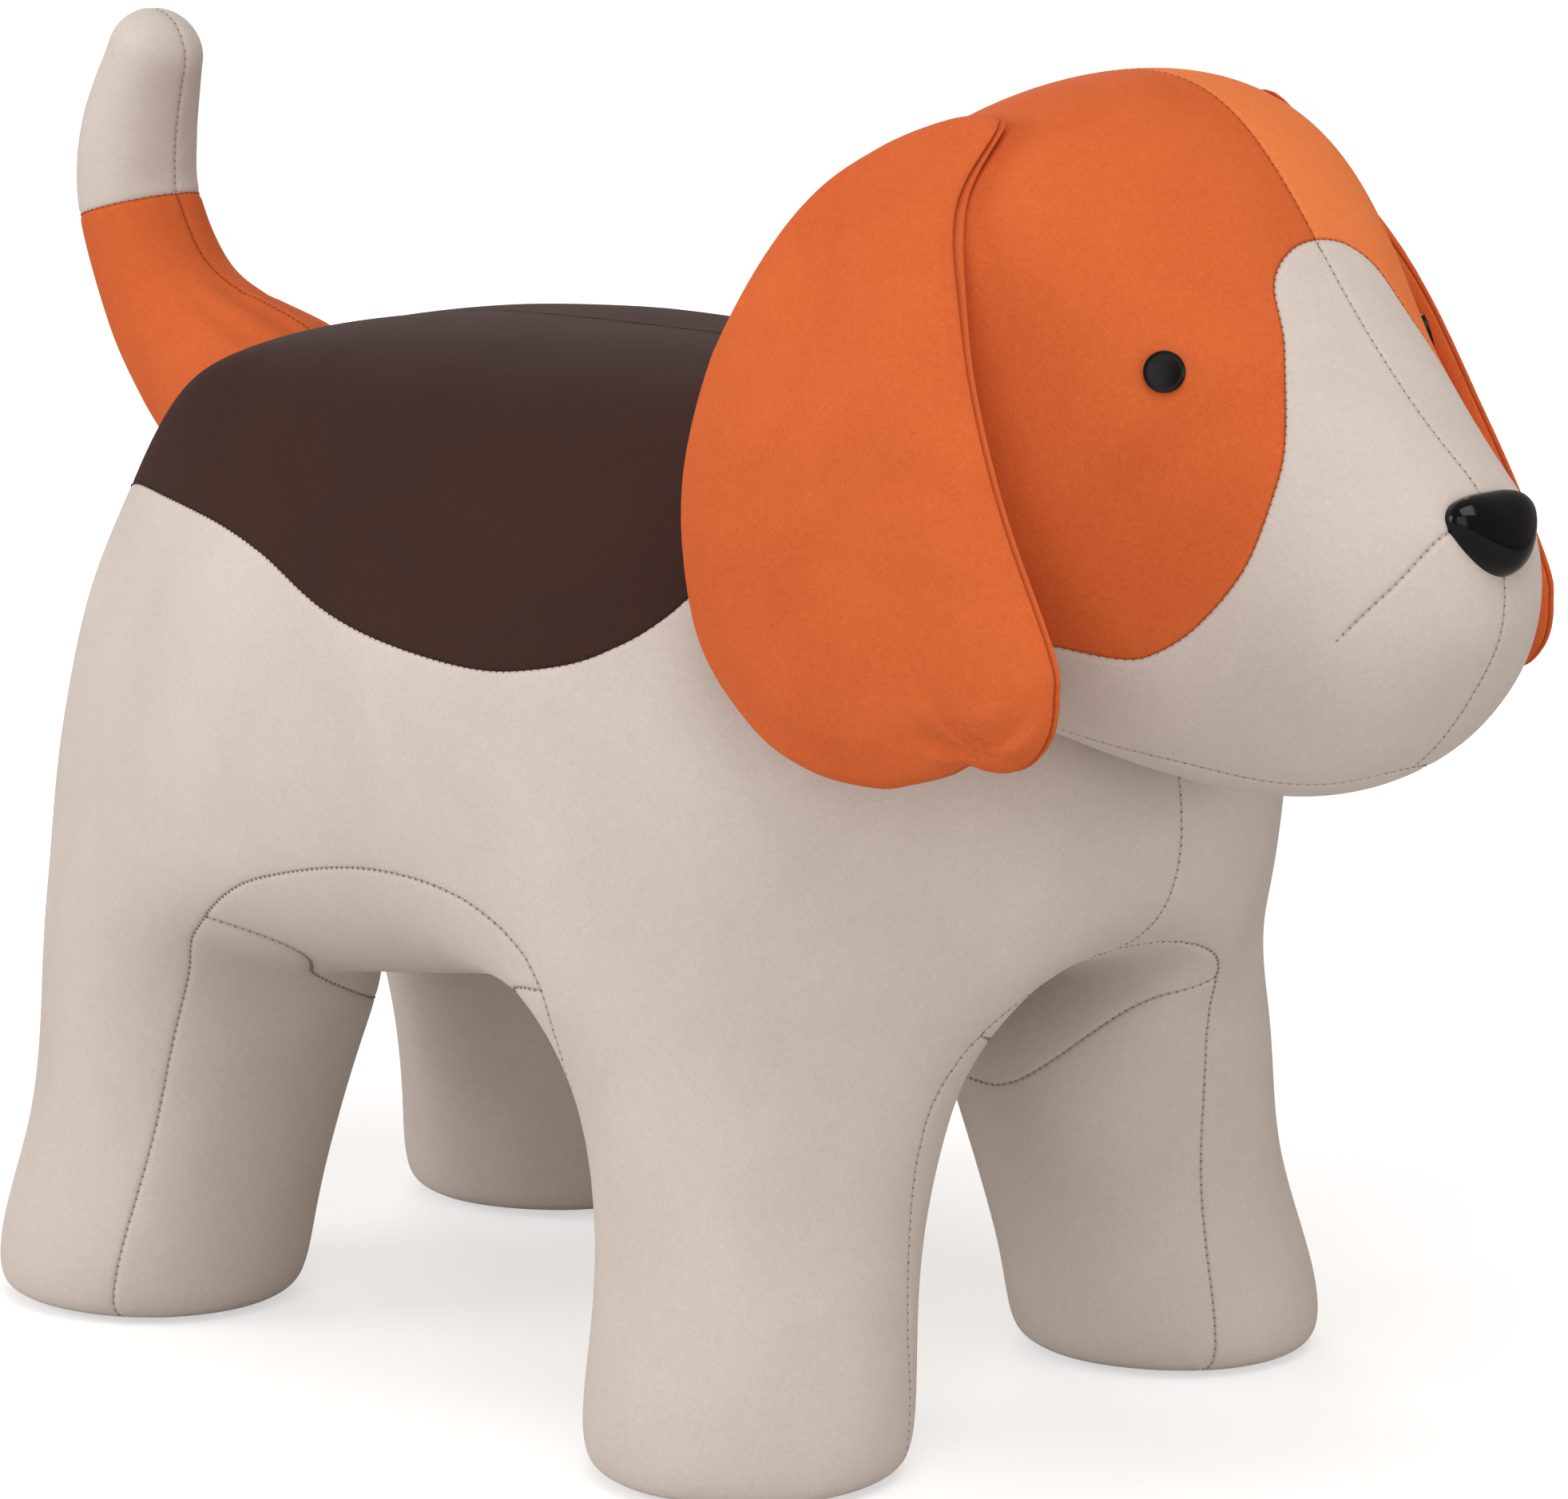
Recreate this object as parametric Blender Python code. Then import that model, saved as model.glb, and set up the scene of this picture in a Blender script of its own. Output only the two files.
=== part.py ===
"""Upholstered footstool in the shape of a standing puppy, in metres, +Z up, facing -Y.

A wooden stool frame carries foam, the foam carries sewn covers, and a stuffed head, an upright tail and
two padded ears are sewn to them. Every piece hangs from one empty, which moves the whole model so that the
origin lies under the middle of its bounding box. Before that move Y is zero half way between the feet.
"""
import math

import bmesh
import bpy
from mathutils import Matrix, Vector
from mathutils.bvhtree import BVHTree

# Driving dimensions
seat_height = 0.383
body_half_width = 0.165
body_half_length = 0.261
body_middle_y = -0.006
leg_radius = 0.061
front_foot_x = 0.113
front_foot_y = 0.166
rear_foot_x = 0.108
rear_foot_y = 0.167
front_leg_top_x = 0.081
front_leg_top_y = 0.144
rear_leg_top_x = 0.077
rear_leg_top_y = 0.1455
head_length = 0.262
head_half_width = 0.1305
head_height = 0.2453
head_back_y = -0.135
head_base_z = 0.2472
tail_height = 0.151
tail_reach = 0.0805
tail_root_radius = 0.049
tail_root_y = 0.208
tail_root_z = 0.331
ear_length = 0.216
ear_width = 0.160
ear_thickness = 0.023
ear_middle_y = -0.218
ear_middle_z = 0.352
ear_hinge_x = 0.070
ear_hinge_y = -0.220
ear_hinge_z = 0.476
middle_offset_y = 0.05276

# Cloth, clearances and fits
cover_thickness = 0.0042
ease_gap = 0.0030
filling_gap = 0.0012
sole_gap = 0.0028
ear_cover_thickness = 0.002
ear_filling_gap = 0.0009
ear_seam_gap = 0.0018
seam_gap = 0.0004
fit_gap = 0.0003
root_gap = 0.0006
foot_lift = 0.002
tool_reach = 0.6
weld_gap = 0.00001
middle_room = 0.010

# Wooden frame
post_width = 0.038
post_x = 0.096
post_y = 0.146
board_top = 0.306
board_thickness = 0.012
board_half_width = 0.098
board_half_length = 0.150
board_corner = 0.050
rail_thickness = 0.018
rail_depth = 0.060
wood_edge = 0.003
leg_split_height = 0.120
plate_radius = 0.030
plate_thickness = 0.009
base_opening = 0.019
glide_radius = 0.0155
glide_edge = 0.0012
neck_board_width = 0.112
neck_board_top = 0.345
neck_board_corner = 0.030
head_board_width = 0.086
head_board_height = 0.092
head_board_corner = 0.0425
head_board_y = -0.292
head_board_z = 0.326
bolt_radius = 0.004
bolt_head_radius = 0.0075
bolt_head_depth = 0.0055
bolt_spread = 0.030
bolt_z = 0.322
tail_plate_width = 0.050
tail_plate_height = 0.040
tail_plate_thickness = 0.003
tail_rod_radius = 0.004
tail_rod_z = 0.268

# Face
eye_radius = 0.0073
eye_depth = 0.0026
eye_dome = 0.0007
eye_flat_share = 0.5
eye_sink = 0.0009
eye_y = -0.310
eye_z = 0.396
nose_width = 0.041
nose_height = 0.034
nose_dome = 0.0125
nose_seat = 0.008
nose_z = 0.349
nose_tilt = math.radians(24)
stem_radius = 0.002
stem_length = 0.014
washer_radius = 0.0075
washer_thickness = 0.0012
washer_depth = 0.006

# Body levels from the belly edge up: height, half width, front and rear reach as shares, and corner power
body_x_shares = (-1.0, -0.66, -0.31, 0.0, 0.31, 0.66, 1.0)
body_y_shares = (-1.0, -0.68, -0.38, 0.0, 0.38, 0.68, 1.0)
body_level_shares = (
    (0.450, 1.075, 0.900, 0.990, 2.6),
    (0.669, 1.030, 1.0125, 0.940, 2.6),
    (0.816, 0.960, 0.925, 0.830, 2.5),
)
back_share, back_width_share, back_length_share, back_power = 1.0, 0.675, 0.769, 3.2
back_drop_share = 0.055
belly_share = 0.385
arch_share = 0.060
chest_bulge_share = 0.130
rump_bulge_share = 0.040
bulge_width_share = 0.72
belly_push_share = 0.5

# Leg rings from under the body to the floor: height, radius and how far each has moved out to the foot
leg_ring_shares = ((0.330, 1.21, 0.24), (0.150, 1.03, 0.66), (0.0, 1.12, 1.0))

# Head stations from back to muzzle: place along the head, half width, top and bottom as shares, and power
head_station_shares = (
    (0.000, 0.613, 0.733, 0.215, 2.4),
    (0.172, 0.851, 0.933, 0.113, 2.3),
    (0.382, 1.000, 1.031, 0.066, 2.2),
    (0.592, 0.756, 0.998, 0.000, 2.26),
    (0.761, 0.506, 0.731, -0.008, 2.37),
    (0.916, 0.414, 0.541, 0.062, 2.31),
    (1.000, 0.284, 0.477, 0.194, 2.275),
)
head_grid_shares = (-1.0, -0.5, 0.0, 0.5, 1.0)
head_waist_share = 0.45
head_back_dome_share = 0.076
muzzle_dome_share = 0.046

# Tail stations from root to tip: shares of its reach and height, and of the root radius
tail_station_shares = (
    (-0.500, -0.060, 0.620), (0.000, 0.000, 0.980), (0.250, 0.050, 0.860), (0.484, 0.118, 0.700),
    (0.660, 0.180, 0.610), (0.800, 0.260, 0.560), (0.930, 0.370, 0.525), (0.995, 0.490, 0.500),
    (0.994, 0.685, 0.475), (0.900, 0.880, 0.430), (0.868, 0.965, 0.310), (0.862, 1.015, 0.130),
)
narrowest_share = 0.25
inner_share = 0.42

# Ear outline about its middle: shares of its width and length, from the root's front corner down its front
ear_outline_shares = (
    (-0.181, 0.574), (-0.183, 0.475), (-0.312, 0.300), (-0.470, 0.075), (-0.657, -0.165),
    (-0.677, -0.255), (-0.617, -0.330), (-0.448, -0.375), (-0.228, -0.407), (0.072, -0.355),
    (0.247, -0.195), (0.292, 0.025), (0.247, 0.255), (0.182, 0.465), (0.087, 0.533), (-0.023, 0.577),
)
# Sheet that each ear hangs in: height as a share of the seat height, distance out as one of the head's width
ear_sheet_shares = (
    (0.679, 1.004), (0.783, 1.004), (0.914, 0.973), (1.018, 0.912), (1.097, 0.843), (1.175, 0.720),
    (1.227, 0.598), (1.266, 0.460), (1.358, 0.153),
)
ear_sweep_share = 0.12
ear_front_share = 0.700
ear_fade_shares = ((1.044, 1.0), (1.253, 0.3))
ear_ring_shares = ((1.0, 0.36), (0.93, 0.84), (0.62, 1.0))

# Seams of the body, seen from the side (length, height) and from the front (width, height)
saddle_edge_shares = (
    (1.149, 0.684), (0.824, 0.773), (0.690, 0.815), (0.559, 0.833), (0.349, 0.828), (0.180, 0.807),
    (0.015, 0.768), (-0.126, 0.747), (-0.307, 0.736), (-0.437, 0.749), (-0.563, 0.794), (-0.613, 0.836),
    (-0.670, 0.901), (-0.728, 0.971), (-0.785, 1.044),
)
side_arch_shares = (
    (0.540, -0.052), (0.529, 0.013), (0.452, 0.253), (0.372, 0.384), (0.310, 0.431), (0.188, 0.483),
    (0.061, 0.512), (-0.084, 0.533), (-0.215, 0.538), (-0.333, 0.527), (-0.444, 0.504), (-0.502, 0.480),
    (-0.529, 0.431), (-0.536, 0.261), (-0.544, -0.052),
)
front_arch_shares = (
    (0.521, -0.052), (0.509, 0.0), (0.479, 0.183), (0.467, 0.287), (0.442, 0.352), (0.388, 0.413),
    (0.315, 0.446), (0.182, 0.467), (0.0, 0.473),
)
belly_edge_shares = ((1.515, 0.574), (0.891, 0.431), (0.545, 0.347), (0.279, 0.298))

# Seams of the head: face patch from the side (length, height), chin from below (width, length)
patch_edge_shares = (
    (-0.300, 0.500), (0.248, 0.358), (0.477, 0.264), (0.584, 0.244), (0.653, 0.232), (0.698, 0.240),
    (0.752, 0.285), (0.809, 0.370), (0.832, 0.476), (0.824, 0.550), (0.786, 0.651), (0.744, 0.729),
    (0.729, 0.766), (0.721, 0.786), (0.714, 0.868),
)
patch_corner_shares = ((1.400, 0.868), (1.400, -0.200), (-0.300, -0.200))
chin_edge_shares = (
    (0.0, 0.958), (0.092, 0.920), (0.153, 0.878), (0.352, 0.740), (0.437, 0.653), (0.520, 0.360),
)
chin_height_share = 0.155
nose_outline_shares = ((0.0, -0.50), (0.27, -0.36), (0.47, 0.02), (0.50, 0.28), (0.30, 0.46), (0.0, 0.50))
nose_ring_shares = ((1.0, 0.0), (0.97, 0.36), (0.84, 0.70), (0.58, 0.92), (0.28, 0.99))
tail_rod_shares = ((0.35, 0.15), (0.75, 0.75))
tail_band_share = 0.490
tail_band_tilt = math.radians(15)

# Counts
tail_sides = 10
tail_rod_first = 3
tail_rod_last = 9
rod_sides = 8
bolt_sides = 8
eye_sides = 12
plate_sides = 16
opening_sides = 10
corner_steps = 3

# Finishes: colour, roughness and metallic value
finishes = {
    "cream_cloth": ((0.62, 0.53, 0.46, 1.0), 0.85, 0.0),
    "orange_cloth": ((0.72, 0.20, 0.05, 1.0), 0.85, 0.0),
    "brown_cloth": ((0.045, 0.022, 0.018, 1.0), 0.85, 0.0),
    "foam": ((0.86, 0.82, 0.68, 1.0), 0.95, 0.0),
    "fibre": ((0.92, 0.92, 0.90, 1.0), 0.95, 0.0),
    "pine": ((0.66, 0.47, 0.28, 1.0), 0.6, 0.0),
    "plywood": ((0.60, 0.42, 0.25, 1.0), 0.6, 0.0),
    "black_plastic": ((0.012, 0.012, 0.013, 1.0), 0.18, 0.0),
    "white_plastic": ((0.80, 0.80, 0.78, 1.0), 0.4, 0.0),
    "steel": ((0.55, 0.55, 0.56, 1.0), 0.35, 1.0),
}

for old in list(bpy.data.objects):
    bpy.data.objects.remove(old, do_unlink=True)

stool = bpy.data.objects.new("stool", None)
stool.location = (0.0, middle_offset_y, 0.0)
bpy.context.scene.collection.objects.link(stool)


# Helpers
def finish_material(name):
    """Returns the material of that finish, made on first use."""
    found = bpy.data.materials.get(name)
    if found:
        return found
    colour, roughness, metallic = finishes[name]
    made = bpy.data.materials.new(name)
    made.use_nodes = True
    shader = made.node_tree.nodes["Principled BSDF"]
    shader.inputs["Base Color"].default_value = colour
    shader.inputs["Roughness"].default_value = roughness
    shader.inputs["Metallic"].default_value = metallic
    made.diffuse_color = colour
    return made


def add_piece(name, mesh, finish):
    """Links a mesh as a named piece with its own finish, under the stool's empty."""
    piece = bpy.data.objects.new(name, mesh)
    bpy.context.scene.collection.objects.link(piece)
    piece.parent = stool
    mesh.materials.clear()
    mesh.materials.append(finish_material(finish))
    return piece


def add_guide(name, mesh):
    """Links a mesh as a hidden cutter or guide."""
    guide = bpy.data.objects.new(name, mesh)
    bpy.context.scene.collection.objects.link(guide)
    guide.parent = stool
    guide.hide_render = True
    guide.display_type = "WIRE"
    return guide


def mesh_from(name, points, faces, split=False):
    """Makes a mesh from points and faces turned outward, its quads split in two if asked."""
    mesh = bpy.data.meshes.new(name)
    mesh.from_pydata([tuple(p) for p in points], [], faces)
    shape = bmesh.new()
    shape.from_mesh(mesh)
    bmesh.ops.recalc_face_normals(shape, faces=shape.faces)
    if split:
        quads = [face for face in shape.faces if len(face.verts) == 4]
        bmesh.ops.triangulate(shape, faces=quads, quad_method="FIXED")
    shape.to_mesh(mesh)
    shape.free()
    return mesh


def settled(piece):
    """Returns a mesh with the piece's modifiers worked in."""
    graph = bpy.context.evaluated_depsgraph_get()
    return bpy.data.meshes.new_from_object(piece.evaluated_get(graph))


def cut(piece, tool, operation="DIFFERENCE"):
    """Cuts a piece with a tool and keeps the result as its mesh."""
    modifier = piece.modifiers.new("cut", "BOOLEAN")
    modifier.operation = operation
    modifier.solver = "EXACT"
    modifier.object = tool
    bpy.context.view_layer.update()
    result = settled(piece)
    piece.modifiers.remove(modifier)
    shape = bmesh.new()
    shape.from_mesh(result)
    bmesh.ops.remove_doubles(shape, verts=shape.verts, dist=weld_gap)
    shape.to_mesh(result)
    shape.free()
    piece.data = result
    return piece


def smooth_shading(piece, angle=math.radians(38)):
    """Shades a piece smooth, with creases sharper than the angle kept."""
    piece.data.shade_smooth()
    piece.data.set_sharp_from_angle(angle=angle)
    return piece


def halved_outline(points):
    """Adds a point halfway along each span of a closed outline, on a smooth curve through its neighbours."""
    count = len(points)
    result = []
    for index in range(count):
        before, start = points[index - 1], points[index]
        end, after = points[(index + 1) % count], points[(index + 2) % count]
        result.append(start)
        result.append(tuple((9 * (b + c) - a - d) / 16 for a, b, c, d in zip(before, start, end, after)))
    return result


def offset_line(points, distance):
    """Moves an open line of plane points sideways by a distance, to its left."""
    result = []
    for index, (x, y) in enumerate(points):
        before = points[max(index - 1, 0)]
        after = points[min(index + 1, len(points) - 1)]
        along_x, along_y = after[0] - before[0], after[1] - before[1]
        length = math.hypot(along_x, along_y)
        result.append((x - distance * along_y / length, y + distance * along_x / length))
    return result


def prism_mesh(name, outline, axis, low, high):
    """Extrudes a plane outline along an axis: X takes (y, z), Y takes (x, z) and Z takes (x, y)."""
    points = []
    for depth in (low, high):
        for a, b in outline:
            points.append({"X": (depth, a, b), "Y": (a, depth, b), "Z": (a, b, depth)}[axis])
    count = len(outline)
    faces = [tuple(range(count)), tuple(range(2 * count - 1, count - 1, -1))]
    for index in range(count):
        after = (index + 1) % count
        faces.append((index, after, count + after, count + index))
    return mesh_from(name, points, faces)


def box_mesh(name, low, high):
    """Makes a box from its lowest and highest corners."""
    outline = [(low[0], low[1]), (high[0], low[1]), (high[0], high[1]), (low[0], high[1])]
    return prism_mesh(name, outline, "Z", low[2], high[2])


def turned_mesh(name, profile, sides, axis="Z"):
    """Turns a profile of (radius, height) about an axis, closed at both ends."""
    points, faces, rings = [], [], []
    for radius, height in profile:
        ring = []
        for side in range(sides if radius > 0 else 1):
            angle = 2 * math.pi * side / sides
            a, b = radius * math.cos(angle), radius * math.sin(angle)
            points.append({"X": (height, a, b), "Y": (a, height, b), "Z": (a, b, height)}[axis])
            ring.append(len(points) - 1)
        rings.append(ring)
    return mesh_from(name, points, ring_faces(rings))


def ring_faces(rings):
    """Joins rings of equal counts, or a single point, and caps open ends."""
    faces = []
    for lower, upper in zip(rings, rings[1:]):
        if len(lower) == 1 or len(upper) == 1:
            tip, ring = (lower[0], upper) if len(lower) == 1 else (upper[0], lower)
            faces += [(tip, ring[i], ring[(i + 1) % len(ring)]) for i in range(len(ring))]
            continue
        for i in range(len(lower)):
            after = (i + 1) % len(lower)
            faces.append((lower[i], lower[after], upper[after], upper[i]))
    for ring in (rings[0], rings[-1]):
        if len(ring) > 1:
            faces.append(tuple(ring))
    return faces


# Soft forms: a box of quads is rounded, and legs are drawn down from its lower corners
class Cage:
    """Points and quads of a control cage, with each point shared by its key."""

    def __init__(self):
        self.points = []
        self.faces = []
        self.found = {}

    def point(self, key, place):
        if key not in self.found:
            self.found[key] = len(self.points)
            self.points.append(place)
        return self.found[key]


def box_quads(across, along, up):
    """Yields the quads of a box's surface as grid keys."""
    for i in range(across):
        for j in range(along):
            for k in (0, up):
                yield [(i, j, k), (i, j + 1, k), (i + 1, j + 1, k), (i + 1, j, k)]
    for k in range(up):
        for i in range(across):
            for j in (0, along):
                yield [(i, j, k), (i + 1, j, k), (i + 1, j, k + 1), (i, j, k + 1)]
        for j in range(along):
            for i in (0, across):
                yield [(i, j, k), (i, j, k + 1), (i, j + 1, k + 1), (i, j + 1, k)]


def rounded(u, v, power):
    """Draws a point of a square in to a rounded square, and gives how far out it was."""
    reach = max(abs(u), abs(v))
    if reach == 0:
        return 0.0, 0.0, 0.0
    scale = reach / (abs(u) ** power + abs(v) ** power) ** (1 / power)
    return u * scale, v * scale, reach


def body_point(key):
    """Places one point of the body's cage."""
    i, j, k = key
    u, v = body_x_shares[i], body_y_shares[j]
    if k == len(body_level_shares):
        a, b, reach = rounded(u, v, back_power)
        height = back_share - back_drop_share * reach ** 3
        y = body_middle_y + b * body_half_length * back_length_share
        return (a * body_half_width * back_width_share, y, height * seat_height)
    height, width, front, rear, power = body_level_shares[k]
    a, b, reach = rounded(u, v, power)
    y = body_middle_y + b * body_half_length * (rear if b > 0 else front)
    if k == 0:
        on_side, on_end = abs(u) == 1, abs(v) == 1
        if on_side or on_end:
            middle = 1 - (abs(v) / body_y_shares[4] if on_side else abs(u) / body_x_shares[4])
            height += arch_share * max(0.0, middle)
        else:
            height = belly_share
        bulge = 1 - (u / bulge_width_share) ** 2
        if on_end and not on_side:
            y += (rump_bulge_share if v > 0 else -chest_bulge_share) * body_half_length * bulge
        elif not on_side and abs(u) < 0.5 and v < -0.5:
            y -= chest_bulge_share * body_half_length * belly_push_share
    return (a * body_half_width * width, y, height * seat_height)


def body_cage():
    """Builds the cage of the body with its four legs."""
    cage = Cage()
    corners = [(i, j) for i in (0, 4) for j in (0, 4)]
    for quad in box_quads(6, 6, 3):
        i, j = min(key[0] for key in quad), min(key[1] for key in quad)
        if all(key[2] == 0 for key in quad) and any(i - a in (0, 1) and j - b in (0, 1) for a, b in corners):
            continue
        cage.faces.append([cage.point(key, body_point(key)) for key in quad])
    order = [(0, 0), (1, 0), (2, 0), (2, 1), (2, 2), (1, 2), (0, 2), (0, 1)]
    for i, j in corners:
        side, end = (-1 if i == 0 else 1), (-1 if j == 0 else 1)
        foot = (front_foot_x, -front_foot_y) if end < 0 else (rear_foot_x, rear_foot_y)
        top = (front_leg_top_x, -front_leg_top_y) if end < 0 else (rear_leg_top_x, rear_leg_top_y)
        upper = [cage.point((i + a, j + b, 0), body_point((i + a, j + b, 0))) for a, b in order]
        for level, (height, radius, way) in enumerate(leg_ring_shares):
            x = side * (top[0] + (foot[0] - top[0]) * way)
            y = top[1] + (foot[1] - top[1]) * way
            z = foot_lift + height * seat_height
            ring = []
            for a, b in order:
                angle = math.atan2(b - 1, a - 1)
                reach = leg_radius * radius
                place = (x + reach * math.cos(angle), y + reach * math.sin(angle), z)
                ring.append(cage.point((i, j, level, a, b), place))
            for at in range(8):
                cage.faces.append([ring[at], ring[(at + 1) % 8], upper[(at + 1) % 8], upper[at]])
            upper = ring
        middle = cage.point((i, j, "sole"), (x, y, z))
        for at in range(0, 8, 2):
            cage.faces.append([middle, upper[(at + 2) % 8], upper[(at + 1) % 8], upper[at]])
    return cage


def head_cage():
    """Builds the cage of the head from its stations."""
    cage = Cage()
    last = len(head_station_shares) - 1
    for quad in box_quads(4, last, 4):
        corner = []
        for i, j, k in quad:
            along, width, top, bottom, power = head_station_shares[j]
            a, b, reach = rounded(head_grid_shares[i], head_grid_shares[k], power)
            waist = bottom + (top - bottom) * head_waist_share
            height = waist + b * ((top - waist) if b > 0 else (waist - bottom))
            dome = 1 - reach ** 2
            if j == 0:
                along -= head_back_dome_share * dome
            if j == last:
                along += muzzle_dome_share * dome
            place = (a * head_half_width * width, head_back_y - along * head_length,
                     head_base_z + height * head_height)
            corner.append(cage.point((i, j, k), place))
        cage.faces.append(corner)
    return cage


def soft_form(name, cage, growth):
    """Subdivides a cage once and moves the surface out along its normals by the growth."""
    form = add_guide(name, mesh_from(name, cage.points, cage.faces))
    subdivision = form.modifiers.new("round", "SUBSURF")
    subdivision.levels = 1
    subdivision.render_levels = 1
    displace = form.modifiers.new("grow", "DISPLACE")
    displace.mid_level = 0.0
    displace.strength = growth
    return form


def taken(form):
    """Returns the worked mesh of a form and removes the form."""
    form.modifiers.new("plane_faces", "TRIANGULATE")
    bpy.context.view_layer.update()
    mesh = settled(form)
    bpy.data.objects.remove(form, do_unlink=True)
    return mesh


def soft_mesh(name, cage, growth=0.0):
    """Makes the mesh of a soft form's outer surface."""
    return taken(soft_form(name, cage, growth))


def inner_mesh(name, cage, ease=0.0):
    """Makes the simpler mesh of what a cover's inner side touches, moved further in by the ease."""
    form = soft_form(name, cage, -cover_thickness - ease)
    simple = form.modifiers.new("simple", "DECIMATE")
    simple.ratio = inner_share
    simple.use_symmetry = True
    simple.symmetry_axis = "X"
    return taken(form)


def tail_stations():
    """Gives the tail's stations as (y, z, radius), from the root inside the body to the tip."""
    return [
        (tail_root_y + along * tail_reach, tail_root_z + up * tail_height, radius * tail_root_radius)
        for along, up, radius in tail_station_shares
    ]


def plane_loft(name, stations, sides, growth=0.0):
    """Lofts round rings along stations of (y, z, radius) in the middle plane, moved out by the growth."""
    points, rings = [], []
    last = len(stations) - 1
    for index, (y, z, radius) in enumerate(stations):
        before, after = stations[max(index - 1, 0)], stations[min(index + 1, last)]
        along_y, along_z = after[0] - before[0], after[1] - before[1]
        length = math.hypot(along_y, along_z)
        across_y, across_z = -along_z / length, along_y / length
        if index == last:
            y, z = y + growth * along_y / length, z + growth * along_z / length
        ring = []
        for side in range(sides):
            angle = 2 * math.pi * side / sides
            reach = max(radius + growth, radius * narrowest_share)
            out = reach * math.cos(angle)
            points.append((reach * math.sin(angle), y + out * across_y, z + out * across_z))
            ring.append(len(points) - 1)
        rings.append(ring)
    return mesh_from(name, points, ring_faces(rings), split=True)


def share_between(table, place):
    """Reads a table of (place, value) pairs, straight between its rows."""
    for (low, a), (high, b) in zip(table, table[1:]):
        if place <= high or (high, b) == table[-1]:
            t = min(max((place - low) / (high - low), 0.0), 1.0)
            return a + (b - a) * t


def ear_point(side, y, z, out):
    """Places a point of an ear: on its hanging sheet at (y, z), and moved out from the head."""
    height = z / seat_height
    distance = share_between(ear_sheet_shares, height) * head_half_width
    sweep = share_between(ear_fade_shares, height) * ear_sweep_share
    distance += sweep * (y - ear_middle_y + ear_front_share * ear_width)
    return (side * (distance + out), y, z)


def drawn_in(outline, distance):
    """Moves a closed outline in by a distance."""
    count = len(outline)
    result = []
    for index, (x, y) in enumerate(outline):
        before, after = outline[index - 1], outline[(index + 1) % count]
        along_x, along_y = after[0] - before[0], after[1] - before[1]
        length = math.hypot(along_x, along_y)
        result.append((x - distance * along_y / length, y + distance * along_x / length))
    return result


def ear_ring(side, share, inset, out):
    """Gives one ring of an ear: its outline drawn in by an inset and a share, moved out from its sheet."""
    outline = [(across * ear_width, up * ear_length) for across, up in ear_outline_shares]
    return [
        ear_point(side, ear_middle_y + y * share, ear_middle_z + z * share, out)
        for y, z in drawn_in(outline, inset)
    ]


def ear_face(side, face, inset):
    """Gives the rings of one face of an ear from rim to middle, the face being 1 outside and -1 inside."""
    rings = []
    for share, fullness in ear_ring_shares:
        rings.append(ear_ring(side, share, inset, face * (fullness * ear_thickness / 2 - inset)))
    rings.append([ear_point(side, ear_middle_y, ear_middle_z, face * (ear_thickness / 2 - inset))])
    return rings


def ringed_mesh(name, rings):
    """Makes a mesh from rings of points, joined in order."""
    points, indices = [], []
    for ring in rings:
        indices.append(list(range(len(points), len(points) + len(ring))))
        points += ring
    return mesh_from(name, points, ring_faces(indices), split=True)


def ear_half_mesh(name, side, face, inset, edge):
    """Makes one half of an ear, drawn in by an inset and closed at a distance from its sheet."""
    closing = [ear_ring(side, share, inset, edge) for share, fullness in ear_ring_shares]
    closing.append([ear_point(side, ear_middle_y, ear_middle_z, edge)])
    if face < 0:
        return ringed_mesh(name, closing[::-1] + ear_face(side, face, inset))
    return ringed_mesh(name, ear_face(side, face, inset)[::-1] + closing)


def ear_padding_mesh(name, side):
    """Makes the padding between an ear's two panels."""
    inset = ear_cover_thickness + ear_filling_gap
    return ringed_mesh(name, ear_face(side, 1, inset)[::-1] + ear_face(side, -1, inset))


def loop_mesh(name, profile, sides):
    """Turns a closed profile of (radius, height) about Z into a ring."""
    points, faces = [], []
    count = len(profile)
    for side in range(sides):
        angle = 2 * math.pi * side / sides
        points += [(radius * math.cos(angle), radius * math.sin(angle), height) for radius, height in profile]
    for side in range(sides):
        after = (side + 1) % sides
        for at in range(count):
            up = (at + 1) % count
            faces.append((side * count + at, after * count + at, after * count + up, side * count + up))
    return mesh_from(name, points, faces)


def rounded_rectangle(half_x, half_y, radius, steps=corner_steps):
    """Gives the outline of a rectangle with round corners."""
    outline = []
    for turn, (sx, sy) in enumerate(((1, 1), (-1, 1), (-1, -1), (1, -1))):
        for step in range(steps + 1):
            angle = math.pi / 2 * (turn + step / steps)
            x = sx * (half_x - radius) + radius * math.cos(angle)
            outline.append((x, sy * (half_y - radius) + radius * math.sin(angle)))
    return outline


def bevelled(piece, width):
    """Breaks the edges of a rigid piece."""
    bevel = piece.modifiers.new("edge", "BEVEL")
    bevel.width = width
    bevel.segments = 1
    bevel.limit_method = "ANGLE"
    bpy.context.view_layer.update()
    result = settled(piece)
    piece.modifiers.remove(bevel)
    piece.data = result
    return piece


def moved(mesh, x, y, z):
    """Moves a mesh by a distance along each axis."""
    mesh.transform(Matrix.Translation((x, y, z)))
    return mesh


# Where things stand
corners = {"front_left": (1, -1), "front_right": (-1, -1), "rear_left": (1, 1), "rear_right": (-1, 1)}
sides = {"left": 1, "right": -1}
board_base = board_top - board_thickness
rail_top = board_base - fit_gap
rail_base = rail_top - rail_depth
plate_base = foot_lift + cover_thickness + sole_gap
plate_top = plate_base + plate_thickness
rail_inset = post_width / 2 + fit_gap
frame_end_y = post_y + rail_thickness / 2


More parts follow.
